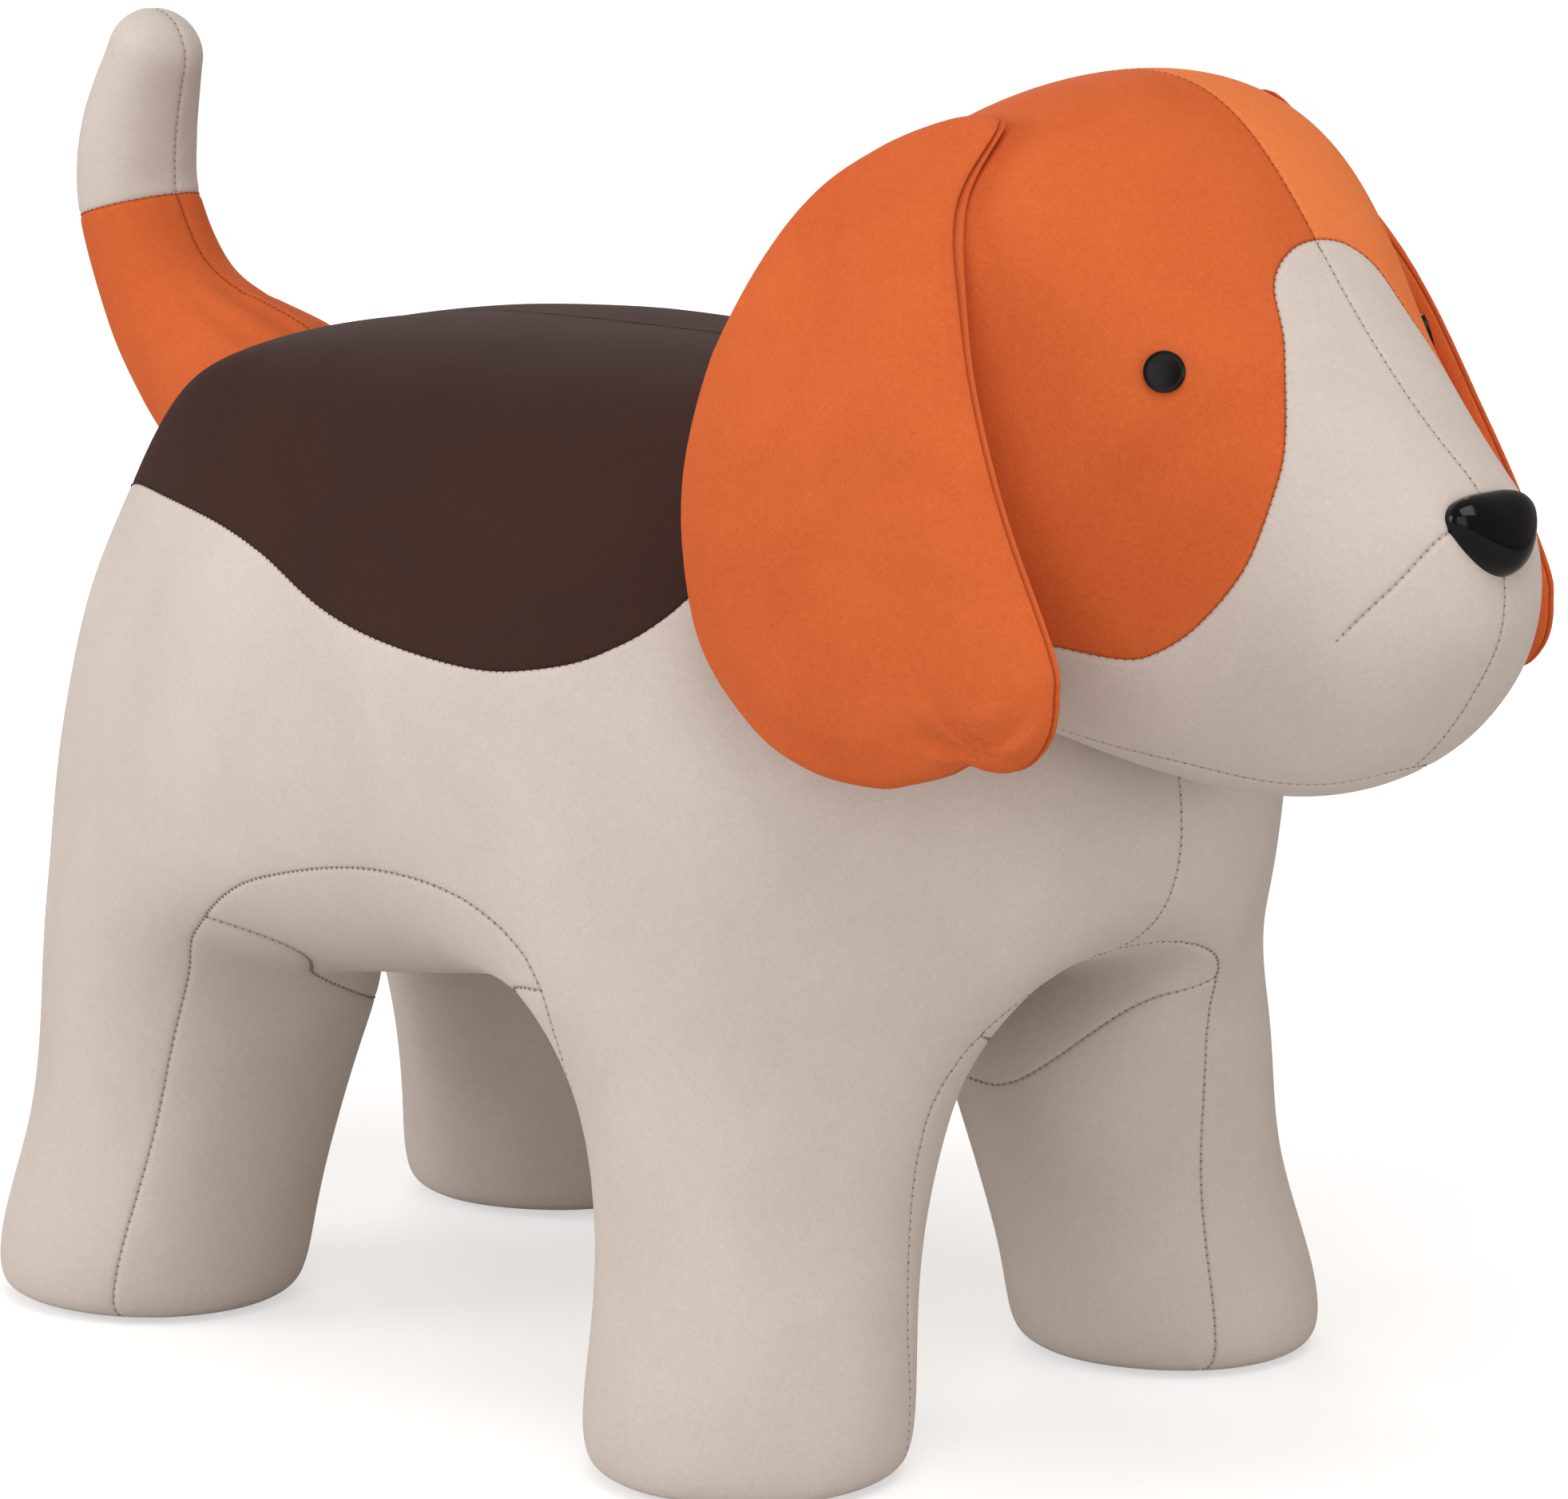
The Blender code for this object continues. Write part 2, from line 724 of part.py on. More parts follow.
def foot_place(side, end):
    """Gives the middle of a foot."""
    if end < 0:
        return side * front_foot_x, -front_foot_y
    return side * rear_foot_x, rear_foot_y


# Wooden frame: each shape takes a growth, so that its pocket in the foam is the same shape grown by the fit
def post_mesh(name, grow, side, end):
    half = post_width / 2 + grow
    x, y = side * post_x, end * post_y
    low = (x - half, y - half, plate_top + fit_gap - grow)
    return box_mesh(name, low, (x + half, y + half, rail_top + grow))


def side_rail_mesh(name, grow, side):
    x = side * (post_x - rail_inset - rail_thickness / 2)
    half_x = rail_thickness / 2 + grow
    half_y = post_y + post_width / 2 + grow
    return box_mesh(name, (x - half_x, -half_y, rail_base - grow), (x + half_x, half_y, rail_top + grow))


def end_rail_mesh(name, grow, end):
    half_x = post_x - rail_inset - rail_thickness - fit_gap + grow
    half_y = rail_thickness / 2 + grow
    y = end * post_y
    return box_mesh(name, (-half_x, y - half_y, rail_base - grow), (half_x, y + half_y, rail_top + grow))


def seat_board_mesh(name, grow):
    outline = rounded_rectangle(board_half_width + grow, board_half_length + grow, board_corner)
    return prism_mesh(name, outline, "Z", board_base - grow, board_top + grow)


def upright_board_mesh(name, grow, size, place, corner):
    """Makes a board across the body, from its width and height and its front face and middle height."""
    outline = rounded_rectangle(size[0] / 2 + grow, size[1] / 2 + grow, corner)
    outline = [(x, z + place[1]) for x, z in outline]
    return prism_mesh(name, outline, "Y", place[0] - grow, place[0] + board_thickness + grow)


def neck_board_mesh(name, grow):
    size = (neck_board_width, neck_board_top - rail_base)
    place = (-frame_end_y - fit_gap - board_thickness, rail_base + size[1] / 2)
    return upright_board_mesh(name, grow, size, place, neck_board_corner)


def head_board_mesh(name, grow):
    size = (head_board_width, head_board_height)
    return upright_board_mesh(name, grow, size, (head_board_y, head_board_z), head_board_corner)


def bolt_mesh(name, grow, side):
    seat = -frame_end_y
    shank, head = bolt_radius + grow, bolt_head_radius + grow
    end = head_board_y - grow
    profile = (
        (0.0, end), (shank, end), (shank, seat - grow), (head, seat - grow),
        (head, seat + bolt_head_depth + grow), (0.0, seat + bolt_head_depth + grow),
    )
    return moved(turned_mesh(name, profile, bolt_sides, "Y"), side * bolt_spread, 0.0, bolt_z)


def foot_plate_mesh(name, grow, side, end):
    low, high, radius = plate_base - grow, plate_top + grow, plate_radius + grow
    x, y = foot_place(side, end)
    profile = ((0.0, low), (radius, low), (radius, high), (0.0, high))
    return moved(turned_mesh(name, profile, plate_sides), x, y, 0.0)


def tail_plate_mesh(name, grow):
    near = frame_end_y + fit_gap
    half_x, half_z = tail_plate_width / 2 + grow, tail_plate_height / 2 + grow
    low = (-half_x, near - grow, tail_rod_z - half_z)
    return box_mesh(name, low, (half_x, near + tail_plate_thickness + grow, tail_rod_z + half_z))


def tail_rod_mesh(name, grow):
    start = frame_end_y + 2 * fit_gap + tail_plate_thickness
    way = [(start - grow, tail_rod_z), (start + 2 * tail_rod_radius, tail_rod_z)]
    for along, up in tail_rod_shares:
        way.append((start + along * (tail_root_y - start), tail_rod_z + up * (tail_root_z - tail_rod_z)))
    way += [(y, z) for y, z, radius in tail_stations()[tail_rod_first:tail_rod_last]]
    return plane_loft(name, [(y, z, tail_rod_radius) for y, z in way], rod_sides, grow)


def framed(name, make, finish, *place):
    """Makes a frame piece, and the grown tool that cuts its pocket."""
    add_piece(name, make(name, 0.0, *place), finish)
    return add_guide(name + "_tool", make(name + "_tool", fit_gap, *place))


frame_tools = [
    framed("seat_board", seat_board_mesh, "plywood"),
    framed("neck_board", neck_board_mesh, "plywood"),
    framed("front_rail", end_rail_mesh, "pine", -1),
    framed("rear_rail", end_rail_mesh, "pine", 1),
    framed("tail_plate", tail_plate_mesh, "steel"),
]
rod_tool = framed("tail_rod", tail_rod_mesh, "steel")
head_board_tool = framed("head_board", head_board_mesh, "plywood")
bolt_tools, plate_tools = [], {}
for word, side in sides.items():
    frame_tools.append(framed("side_rail_" + word, side_rail_mesh, "pine", side))
    bolt_tools.append(framed("head_bolt_" + word, bolt_mesh, "steel", side))
for word, (side, end) in corners.items():
    frame_tools.append(framed("leg_post_" + word, post_mesh, "pine", side, end))
    plate_tools[word] = framed("foot_plate_" + word, foot_plate_mesh, "plywood", side, end)
    x, y = foot_place(side, end)
    glide_top = plate_base - fit_gap
    profile = (
        (0.0, 0.0), (glide_radius - glide_edge, 0.0), (glide_radius, glide_edge), (glide_radius, glide_top),
        (0.0, glide_top),
    )
    add_piece("glide_" + word, moved(turned_mesh("glide", profile, plate_sides), x, y, 0.0), "black_plastic")
for piece in list(stool.children):
    if not piece.hide_render and piece.name.startswith(("leg_post", "side_rail", "front_rail", "rear_rail")):
        bevelled(piece, wood_edge)
for tool in bolt_tools:
    cut(bpy.data.objects["neck_board"], tool)
    cut(bpy.data.objects["head_board"], tool)

# Tools that part the covers and the foam
KEEP, REMOVE = "INTERSECT", "DIFFERENCE"


def side_view_tool(name, outline):
    """Extrudes a side view across the whole width."""
    return add_guide(name, prism_mesh(name, outline, "X", -tool_reach, tool_reach))


def front_view_tool(name, outline):
    """Extrudes a front view along the whole length."""
    return add_guide(name, prism_mesh(name, outline, "Y", -tool_reach, tool_reach))


def scaled(shares, first, second):
    """Turns pairs of shares into lengths."""
    return [(a * first, b * second) for a, b in shares]


def mirrored(points):
    """Adds the other half of a line that ends on or near the middle plane."""
    other = points[-2::-1] if points[-1][0] == 0 else points[::-1]
    return points + [(-x, y) for x, y in other]


half_tools = {}
for word, side in sides.items():
    low, high = sorted((side * seam_gap / 2, side * tool_reach))
    box = box_mesh("half", (low, -tool_reach, -tool_reach), (high, tool_reach, tool_reach))
    half_tools[word] = add_guide("half_" + word, box)

saddle_edge = scaled(saddle_edge_shares, body_half_length, seat_height)
side_arch = scaled(side_arch_shares, body_half_length, seat_height)
front_arch = mirrored(scaled(front_arch_shares, body_half_width, seat_height))
belly_edge = mirrored(scaled(belly_edge_shares, body_half_width, seat_height))


def saddle_tool(drop):
    """Holds everything above the saddle's edge, lowered by a seam."""
    edge = offset_line(saddle_edge, drop)
    top = [(edge[-1][0], tool_reach), (tool_reach, tool_reach), (tool_reach, edge[0][1])]
    return side_view_tool("saddle_form", edge + top)


def arch_tool(grow):
    """Holds the two crossing tunnels between the legs."""
    tunnel = side_view_tool("arch_form", offset_line(side_arch, -grow))
    return cut(tunnel, front_view_tool("front_arch_form", offset_line(front_arch, -grow)), "UNION")


def belly_tool(drop):
    """Holds everything below the line across the inner legs."""
    edge = [(x, z - drop) for x, z in belly_edge]
    return front_view_tool("belly_form", edge + [(edge[-1][0], -tool_reach), (edge[0][0], -tool_reach)])


def opening_tool(side, end):
    """Holds the round opening in a sole, up to the foot plate."""
    high = plate_base + fit_gap
    profile = ((0.0, -tool_reach), (base_opening, -tool_reach), (base_opening, high), (0.0, high))
    x, y = foot_place(side, end)
    return add_guide("opening", moved(turned_mesh("opening", profile, opening_sides), x, y, 0.0))


saddle_form, saddle_gap_form = saddle_tool(0.0), saddle_tool(seam_gap)
arch_form, arch_gap_form = arch_tool(0.0), arch_tool(seam_gap)
belly_form, belly_gap_form = belly_tool(0.0), belly_tool(seam_gap)
opening_tools = [opening_tool(side, end) for side, end in corners.values()]


def corner_tool(side, end, start, high):
    """Holds the corner of one leg, from a start beside both middle planes up to a height."""
    low_x, high_x = sorted((side * start, side * tool_reach))
    low_y, high_y = sorted((end * start, end * tool_reach))
    return add_guide("corner", box_mesh("corner", (low_x, low_y, -tool_reach), (high_x, high_y, high)))


over_low = (-tool_reach, -tool_reach, leg_split_height)
over_tool = add_guide("over_legs", box_mesh("over_legs", over_low, (tool_reach, tool_reach, tool_reach)))
body_form = add_guide("body_form", soft_mesh("body_form", body_cage(), root_gap))
body_inside = add_guide("body_inside", inner_mesh("body_inside", body_cage()))
head_form = add_guide("head_form", soft_mesh("head_form", head_cage(), root_gap))
head_inside = add_guide("head_inside", inner_mesh("head_inside", head_cage()))


def drop_crumbs(mesh):
    """Keeps the largest body of a mesh and drops the crumbs that grazing cuts leave."""
    shape = bmesh.new()
    shape.from_mesh(mesh)
    bodies, seen = [], set()
    for start in shape.faces:
        waiting, body = [start], []
        while waiting:
            face = waiting.pop()
            if face in seen:
                continue
            seen.add(face)
            body.append(face)
            waiting += [other for edge in face.edges if edge.is_manifold for other in edge.link_faces]
        bodies.append(body)
    bodies.sort(key=len)
    bmesh.ops.delete(shape, geom=[face for body in bodies[:-1] for face in body], context="FACES")
    shape.to_mesh(mesh)
    shape.free()


def formed(name, mesh, finish, steps):
    """Makes a soft piece from a form by a list of (tool, operation)."""
    piece = add_piece(name, mesh, finish)
    for tool, operation in steps:
        cut(piece, tool, operation)
    drop_crumbs(piece.data)
    piece.data.materials.clear()
    piece.data.materials.append(finish_material(finish))
    return piece


# Covers of the body
def body_panel(name, finish, *steps):
    """Cuts one sewn piece out of the body's cover."""
    holes = [(body_inside, REMOVE)]
    holes += [(tool, REMOVE) for tool in opening_tools + list(plate_tools.values()) + bolt_tools + [rod_tool]]
    return formed(name, soft_mesh(name, body_cage()), finish, list(steps) + holes)


for word, half in half_tools.items():
    body_panel("saddle_cover_" + word, "brown_cloth", (saddle_form, KEEP), (half, KEEP))
    steps = [(saddle_gap_form, REMOVE), (arch_gap_form, REMOVE), (half, KEEP)]
    body_panel("side_cover_" + word, "cream_cloth", *steps)
body_panel("belly_cover", "cream_cloth", (arch_form, KEEP), (belly_form, REMOVE))
for word, (side, end) in corners.items():
    corner = corner_tool(side, end, middle_room, tool_reach)
    steps = [(corner, KEEP), (arch_form, KEEP), (belly_gap_form, KEEP)]
    body_panel("inner_leg_cover_" + word, "cream_cloth", *steps)

# Foam of the body
pockets = [(tool, REMOVE) for tool in frame_tools + bolt_tools + [rod_tool]]
steps = [(body_inside, KEEP), (over_tool, KEEP)] + pockets
formed("torso_foam", inner_mesh("torso_foam", body_cage(), ease_gap), "foam", steps)
for word, (side, end) in corners.items():
    corner = corner_tool(side, end, 0.0, leg_split_height - fit_gap)
    post_tool = bpy.data.objects["leg_post_" + word + "_tool"]
    steps = [(body_inside, KEEP), (corner, KEEP), (post_tool, REMOVE), (plate_tools[word], REMOVE)]
    formed("leg_foam_" + word, inner_mesh("leg_foam", body_cage(), ease_gap), "foam", steps)

# Head: covers, filling and what is fixed into them
def head_place(along, up):
    """Places a side-view point of the head from its shares."""
    return head_back_y - along * head_length, head_base_z + up * head_height


patch_edge = [head_place(along, up) for along, up in patch_edge_shares]
patch_corners = [head_place(along, up) for along, up in patch_corner_shares]
chin_half = [(x * head_half_width, head_back_y - y * head_length) for x, y in chin_edge_shares]
chin_edge = mirrored(chin_half[::-1])
chin_top = head_base_z + chin_height_share * head_height


def patch_tool(grow):
    """Holds the face patch, seen from the side."""
    return side_view_tool("patch_form", offset_line(patch_edge, -grow) + patch_corners)


def chin_tool(grow):
    """Holds the gusset under the chin."""
    outline = offset_line(chin_edge, grow)
    return add_guide("chin_form", prism_mesh("chin_form", outline, "Z", -tool_reach, chin_top + grow))


patch_form, patch_gap_form = patch_tool(0.0), patch_tool(seam_gap)
chin_form, chin_gap_form = chin_tool(0.0), chin_tool(seam_gap)
head_rest = BVHTree.FromObject(head_form, bpy.context.evaluated_depsgraph_get())


def turned_toward(mesh, place, outward):
    """Turns a mesh's Z axis to a direction and moves it to a place."""
    turn = Vector((0.0, 0.0, 1.0)).rotation_difference(outward).to_matrix().to_4x4()
    mesh.transform(Matrix.Translation(place) @ turn)
    return mesh


def stem_profile(grow):
    """Gives the profile of a stem from its far end, for a face piece whose back is at zero."""
    return [(0.0, -stem_length - grow), (stem_radius + grow, -stem_length - grow)]


def eye_mesh(name, grow):
    radius = eye_radius + grow
    profile = stem_profile(grow) + [
        (stem_radius + grow, -grow), (radius, -grow), (radius, eye_depth - eye_dome),
        (radius - eye_dome, eye_depth), (radius * eye_flat_share, eye_depth), (0.0, eye_depth),
    ]
    return turned_mesh(name, profile, eye_sides)


def washer_mesh(name, grow):
    """Makes the washer that locks a stem, or with a growth the pocket around it."""
    inner, outer = stem_radius + fit_gap, washer_radius + grow
    low, high = -washer_depth - washer_thickness - grow, -washer_depth + grow
    if grow:
        return turned_mesh(name, ((0.0, low), (outer, low), (outer, high), (0.0, high)), eye_sides)
    return loop_mesh(name, ((inner, low), (outer, low), (outer, high), (inner, high)), eye_sides)


def nose_mesh(name):
    """Makes a rounded triangle with a domed front and a straight back part."""
    outline = halved_outline(nose_outline_shares + tuple((-x, z) for x, z in nose_outline_shares[-2:0:-1]))
    rings = []
    for share, rise in ((1.0, -nose_seat / nose_dome),) + nose_ring_shares:
        rings.append([
            (x * nose_width * share, z * nose_height * share, rise * nose_dome) for x, z in outline
        ])
    rings.append([(0.0, 0.0, nose_dome)])
    return ringed_mesh(name, rings)


face_tools = []
for word, side in sides.items():
    start = Vector((side * tool_reach, eye_y, eye_z))
    hit, outward, index, distance = head_rest.ray_cast(start, Vector((-side, 0.0, 0.0)))
    place = hit - outward * (eye_sink + root_gap)
    tool = add_guide("eye_tool", turned_toward(eye_mesh("eye_tool", fit_gap), place, outward))
    pocket = add_guide("eye_pocket", turned_toward(washer_mesh("eye_pocket", fit_gap), place, outward))
    add_piece("eye_" + word, turned_toward(eye_mesh("eye", 0.0), place, outward), "black_plastic")
    washer = turned_toward(washer_mesh("eye_washer", 0.0), place, outward)
    add_piece("eye_washer_" + word, washer, "white_plastic")
    face_tools += [tool, pocket]

nose_out = Vector((0.0, -math.cos(nose_tilt), math.sin(nose_tilt)))
nose_up = Vector((0.0, math.sin(nose_tilt), math.cos(nose_tilt)))
nose_turn = Matrix((Vector((1.0, 0.0, 0.0)), nose_up, nose_out)).transposed().to_4x4()
ahead = Vector((0.0, -tool_reach, nose_z))
hit, outward, index, distance = head_rest.ray_cast(ahead, Vector((0.0, 1.0, 0.0)))
nose_turn = Matrix.Translation(hit) @ nose_turn


def stem_mesh(name, grow, high):
    """Makes the nose's round stem, from its far end to a height above the cloth."""
    radius = stem_radius + grow
    return turned_mesh(name, stem_profile(grow) + [(radius, high), (0.0, high)], eye_sides)


def nose_piece(name, mesh):
    """Links a guide that belongs to the nose, in the nose's place."""
    mesh.transform(nose_turn)
    return add_guide(name, mesh)


nose = add_piece("nose", nose_mesh("nose"), "black_plastic")
nose.data.transform(nose_turn)
cut(nose, head_form)
cut(nose, nose_piece("nose_stem", stem_mesh("nose_stem", 0.0, nose_dome / 2)), "UNION")
face_tools.append(nose_piece("nose_stem_tool", stem_mesh("nose_stem_tool", fit_gap, nose_dome / 2)))
face_tools.append(nose_piece("nose_pocket", washer_mesh("nose_pocket", fit_gap)))
nose_washer = add_piece("nose_washer", washer_mesh("nose_washer", 0.0), "white_plastic")
nose_washer.data.transform(nose_turn)


def head_panel(name, finish, *steps):
    """Cuts one sewn piece out of the head's cover."""
    rest = [(head_inside, REMOVE), (body_form, REMOVE)] + [(tool, REMOVE) for tool in face_tools]
    return formed(name, soft_mesh(name, head_cage()), finish, list(steps) + rest)


for word, half in half_tools.items():
    head_panel("head_cover_" + word, "orange_cloth", (patch_gap_form, REMOVE), (half, KEEP))
    steps = [(half, KEEP), (patch_form, KEEP), (chin_gap_form, REMOVE)]
    head_panel("muzzle_cover_" + word, "cream_cloth", *steps)
head_panel("chin_cover", "cream_cloth", (chin_form, KEEP))
pocket_tools = [body_form, head_board_tool] + bolt_tools + face_tools
steps = [(head_inside, KEEP)] + [(tool, REMOVE) for tool in pocket_tools]
formed("head_stuffing", inner_mesh("head_stuffing", head_cage(), ease_gap), "fibre", steps)

# Tail: a tube of two colours around its filling
band_y, band_z = tail_root_y + tail_reach, tail_root_z + tail_band_share * tail_height


def band_tool(grow):
    """Holds everything above the tail's colour seam, a slanting plane."""
    rise = tool_reach * math.tan(tail_band_tilt)
    front, rear = band_y - tool_reach, band_y + tool_reach
    outline = [(front, band_z + rise - grow), (rear, band_z - rise - grow)]
    outline += [(rear, band_z + tool_reach), (front, band_z + tool_reach)]
    return side_view_tool("band_form", outline)


def tail_form(name, grow):
    return plane_loft(name, tail_stations(), tail_sides, grow)


tail_inside = add_guide("tail_inside", tail_form("tail_inside", -cover_thickness))
closing = [(tail_inside, REMOVE), (body_form, REMOVE)]
below_band = [(band_tool(seam_gap), REMOVE)]
formed("tail_cover_root", tail_form("tail_root", 0.0), "orange_cloth", below_band + closing)
formed("tail_cover_tip", tail_form("tail_tip", 0.0), "cream_cloth", [(band_tool(0.0), KEEP)] + closing)
filling = tail_form("tail_filling", -cover_thickness - filling_gap)
formed("tail_stuffing", filling, "fibre", [(body_form, REMOVE), (rod_tool, REMOVE)])

# Ears: each hangs on the sewn line of its root, which is its hinge
for word, side in sides.items():
    hinge = bpy.data.objects.new("ear_hinge_" + word, None)
    bpy.context.scene.collection.objects.link(hinge)
    hinge.parent = stool
    hinge.location = (side * ear_hinge_x, ear_hinge_y, ear_hinge_z)
    clear = [(head_form, REMOVE), (body_form, REMOVE)]
    pieces = [formed("ear_padding_" + word, ear_padding_mesh("ear_padding", side), "fibre", clear)]
    for layer, face in (("outer", 1), ("inner", -1)):
        room = ear_half_mesh("ear_room", side, face, ear_cover_thickness, -face * ear_seam_gap)
        half = ear_half_mesh("ear_half", side, face, 0.0, face * ear_seam_gap / 2)
        steps = clear + [(add_guide("ear_room", room), REMOVE)]
        pieces.append(formed("ear_" + layer + "_cover_" + word, half, "orange_cloth", steps))
    for piece in pieces:
        piece.data.transform(Matrix.Translation(-hinge.location))
        piece.parent = hinge

for guide in list(stool.children):
    if guide.hide_render:
        bpy.data.objects.remove(guide, do_unlink=True)
for piece in stool.children_recursive:
    if piece.type == "MESH":
        piece.data.name = piece.name
        smooth_shading(piece)
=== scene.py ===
# %% [markdown]
# # A puppy footstool, dressed
#
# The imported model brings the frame, the foam and plain covers at their real sizes. This lesson gives the
# stool its looks: a fine skin for the body, head, tail and ears, cut into panels along its seams, with the
# seams drawn in, small stitches across them, suede-like cloth and polished face pieces. Everything is in
# metres, +Z up, and the puppy faces -Y.

import math

import bmesh
import bpy
import numpy as np
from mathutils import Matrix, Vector, noise
from mathutils.bvhtree import BVHTree
from mathutils.kdtree import KDTree


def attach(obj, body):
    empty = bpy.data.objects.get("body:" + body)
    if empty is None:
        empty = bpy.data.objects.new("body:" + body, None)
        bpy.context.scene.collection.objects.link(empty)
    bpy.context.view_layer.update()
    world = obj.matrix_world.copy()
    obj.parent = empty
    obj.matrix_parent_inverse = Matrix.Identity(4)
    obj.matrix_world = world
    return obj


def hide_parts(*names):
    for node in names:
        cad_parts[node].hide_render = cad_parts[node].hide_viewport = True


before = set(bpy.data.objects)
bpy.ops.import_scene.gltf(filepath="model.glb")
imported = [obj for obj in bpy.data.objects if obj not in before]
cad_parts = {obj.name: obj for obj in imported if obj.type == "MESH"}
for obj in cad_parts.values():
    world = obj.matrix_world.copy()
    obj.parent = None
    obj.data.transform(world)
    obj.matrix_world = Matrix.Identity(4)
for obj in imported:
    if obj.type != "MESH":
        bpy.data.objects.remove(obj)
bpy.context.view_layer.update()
middle_y = 0.05276    # from the drawing in this file to the frame, whose middle is at y = 0
fineness = 4    # rounds of subdivision

# %% [markdown]
# ## Cloth colours and nap
#
# The cloth is a short brushed pile. Three things make it read as that: slow patches where the pile leans
# another way, a fine worm-like grain about a millimetre across, and a soft glow at grazing angles. The
# first two are shared by all the cloths, so they are one node group that gives a shade, a height and
# nothing else. The glow is the sheen of each cloth's own shader.

# %% Node group of the brushed pile
def add_node(tree, kind, **values):
    """Adds a node and sets its properties, or its inputs by name."""
    node = tree.nodes.new(kind)
    for name, value in values.items():
        if name in node.inputs:
            node.inputs[name].default_value = value
        else:
            setattr(node, name, value)
    return node


def brushed_pile():
    """Makes the group that gives the pile's shade and height at a point."""
    tree = bpy.data.node_groups.new("brushed_pile", "ShaderNodeTree")
    for name, value in (("Patch Size", 14.0), ("Patch Depth", 0.07),
                        ("Grain Size", 620.0), ("Grain Depth", 0.10)):
        socket = tree.interface.new_socket(name=name, in_out="INPUT", socket_type="NodeSocketFloat")
        socket.default_value = value
    for name in ("Shade", "Height"):
        tree.interface.new_socket(name=name, in_out="OUTPUT", socket_type="NodeSocketFloat")
    start, end = tree.nodes.new("NodeGroupInput"), tree.nodes.new("NodeGroupOutput")
    place = tree.nodes.new("ShaderNodeTexCoord")
    patches = add_node(tree, "ShaderNodeTexNoise", Detail=3.0, Roughness=0.55, Distortion=0.6)
    grain = add_node(tree, "ShaderNodeTexNoise", Detail=2.0, Roughness=0.6, Distortion=1.6)
    for node, size in ((patches, "Patch Size"), (grain, "Grain Size")):
        tree.links.new(place.outputs["Object"], node.inputs["Vector"])
        tree.links.new(start.outputs[size], node.inputs["Scale"])
    total = None
    for node, depth in ((patches, "Patch Depth"), (grain, "Grain Depth")):
        centred = add_node(tree, "ShaderNodeMath", operation="SUBTRACT")
        tree.links.new(node.outputs["Fac"], centred.inputs[0])
        centred.inputs[1].default_value = 0.5
        deep = add_node(tree, "ShaderNodeMath", operation="MULTIPLY")
        tree.links.new(centred.outputs[0], deep.inputs[0])
        tree.links.new(start.outputs[depth], deep.inputs[1])
        added = add_node(tree, "ShaderNodeMath", operation="ADD")
        tree.links.new(deep.outputs[0], added.inputs[0])
        if total is None:
            added.inputs[1].default_value = 0.5
        else:
            tree.links.new(total.outputs[0], added.inputs[1])
        total = added
    tree.links.new(total.outputs[0], end.inputs["Shade"])
    tree.links.new(grain.outputs["Fac"], end.inputs["Height"])
    return tree


pile_group = brushed_pile()
print("node group", pile_group.name)

# %% Cloth materials
def principled(name, roughness=0.5, colour=(0.5, 0.5, 0.5, 1.0)):
    """Makes a material and gives its tree and its shader."""
    material = bpy.data.materials.new(name)
    material.use_nodes = True
    shader = material.node_tree.nodes["Principled BSDF"]
    shader.inputs["Base Color"].default_value = colour
    shader.inputs["Roughness"].default_value = roughness
    return material, material.node_tree, shader


def colour_ramp(tree, dark, light):
    """Adds a ramp from a dark to a light colour."""
    ramp = tree.nodes.new("ShaderNodeValToRGB")
    ramp.color_ramp.elements[0].color = (*dark, 1.0)
    ramp.color_ramp.elements[1].color = (*light, 1.0)
    return ramp


def cloth(name, dark, light, painted_seam_shade, sheen, patch_depth=0.9, grain_depth=1.1):
    """Makes a suede-like cloth between two colours, with painted shade that darkens it along its seams."""
    material, tree, shader = principled(name, 0.88)
    pile = add_node(tree, "ShaderNodeGroup", node_tree=pile_group)
    pile.inputs["Patch Depth"].default_value = patch_depth
    pile.inputs["Grain Depth"].default_value = grain_depth
    ramp = colour_ramp(tree, dark, light)
    tree.links.new(pile.outputs["Shade"], ramp.inputs["Fac"])
    seam = add_node(tree, "ShaderNodeAttribute", attribute_name="seam")
    mix = add_node(tree, "ShaderNodeMix", data_type="RGBA", blend_type="MULTIPLY")
    mix.inputs[0].default_value = 1.0
    # painted shade: the seam attribute mixes in a darker colour along each seam, for the shade in its groove
    tint = colour_ramp(tree, painted_seam_shade, (1.0, 1.0, 1.0))
    tree.links.new(seam.outputs["Fac"], tint.inputs["Fac"])
    tree.links.new(ramp.outputs["Color"], mix.inputs[6])
    tree.links.new(tint.outputs["Color"], mix.inputs[7])
    tree.links.new(mix.outputs[2], shader.inputs["Base Color"])
    bump = add_node(tree, "ShaderNodeBump", Strength=0.35, Distance=0.0004)
    tree.links.new(pile.outputs["Height"], bump.inputs["Height"])
    tree.links.new(bump.outputs["Normal"], shader.inputs["Normal"])
    shader.inputs["Specular IOR Level"].default_value = 0.18
    shader.inputs["Sheen Weight"].default_value = sheen
    shader.inputs["Sheen Roughness"].default_value = 0.5
    shader.inputs["Sheen Tint"].default_value = (*light, 1.0)
    return material


# The fourth colour of each cloth is the painted shade in its seams.
cream = cloth("cream_suede", (0.55, 0.475, 0.422), (0.695, 0.618, 0.566), (0.84, 0.79, 0.74), 0.22)
orange = cloth("orange_suede", (0.53, 0.088, 0.021), (0.72, 0.155, 0.041), (0.6, 0.5, 0.45), 0.20)
# painted light: a paler, lit copy of the orange cloth for the crown's left half, which lies in more light
orange_painted_lit = cloth("orange_suede_painted_lit", (0.72, 0.165, 0.045), (0.90, 0.255, 0.080), (0.6, 0.5, 0.45), 0.30)
brown = cloth("brown_suede", (0.034, 0.0138, 0.0108), (0.051, 0.0222, 0.0172), (0.6, 0.6, 0.6), 0.16)
print("cloths", cream.name, orange.name, orange_painted_lit.name, brown.name)

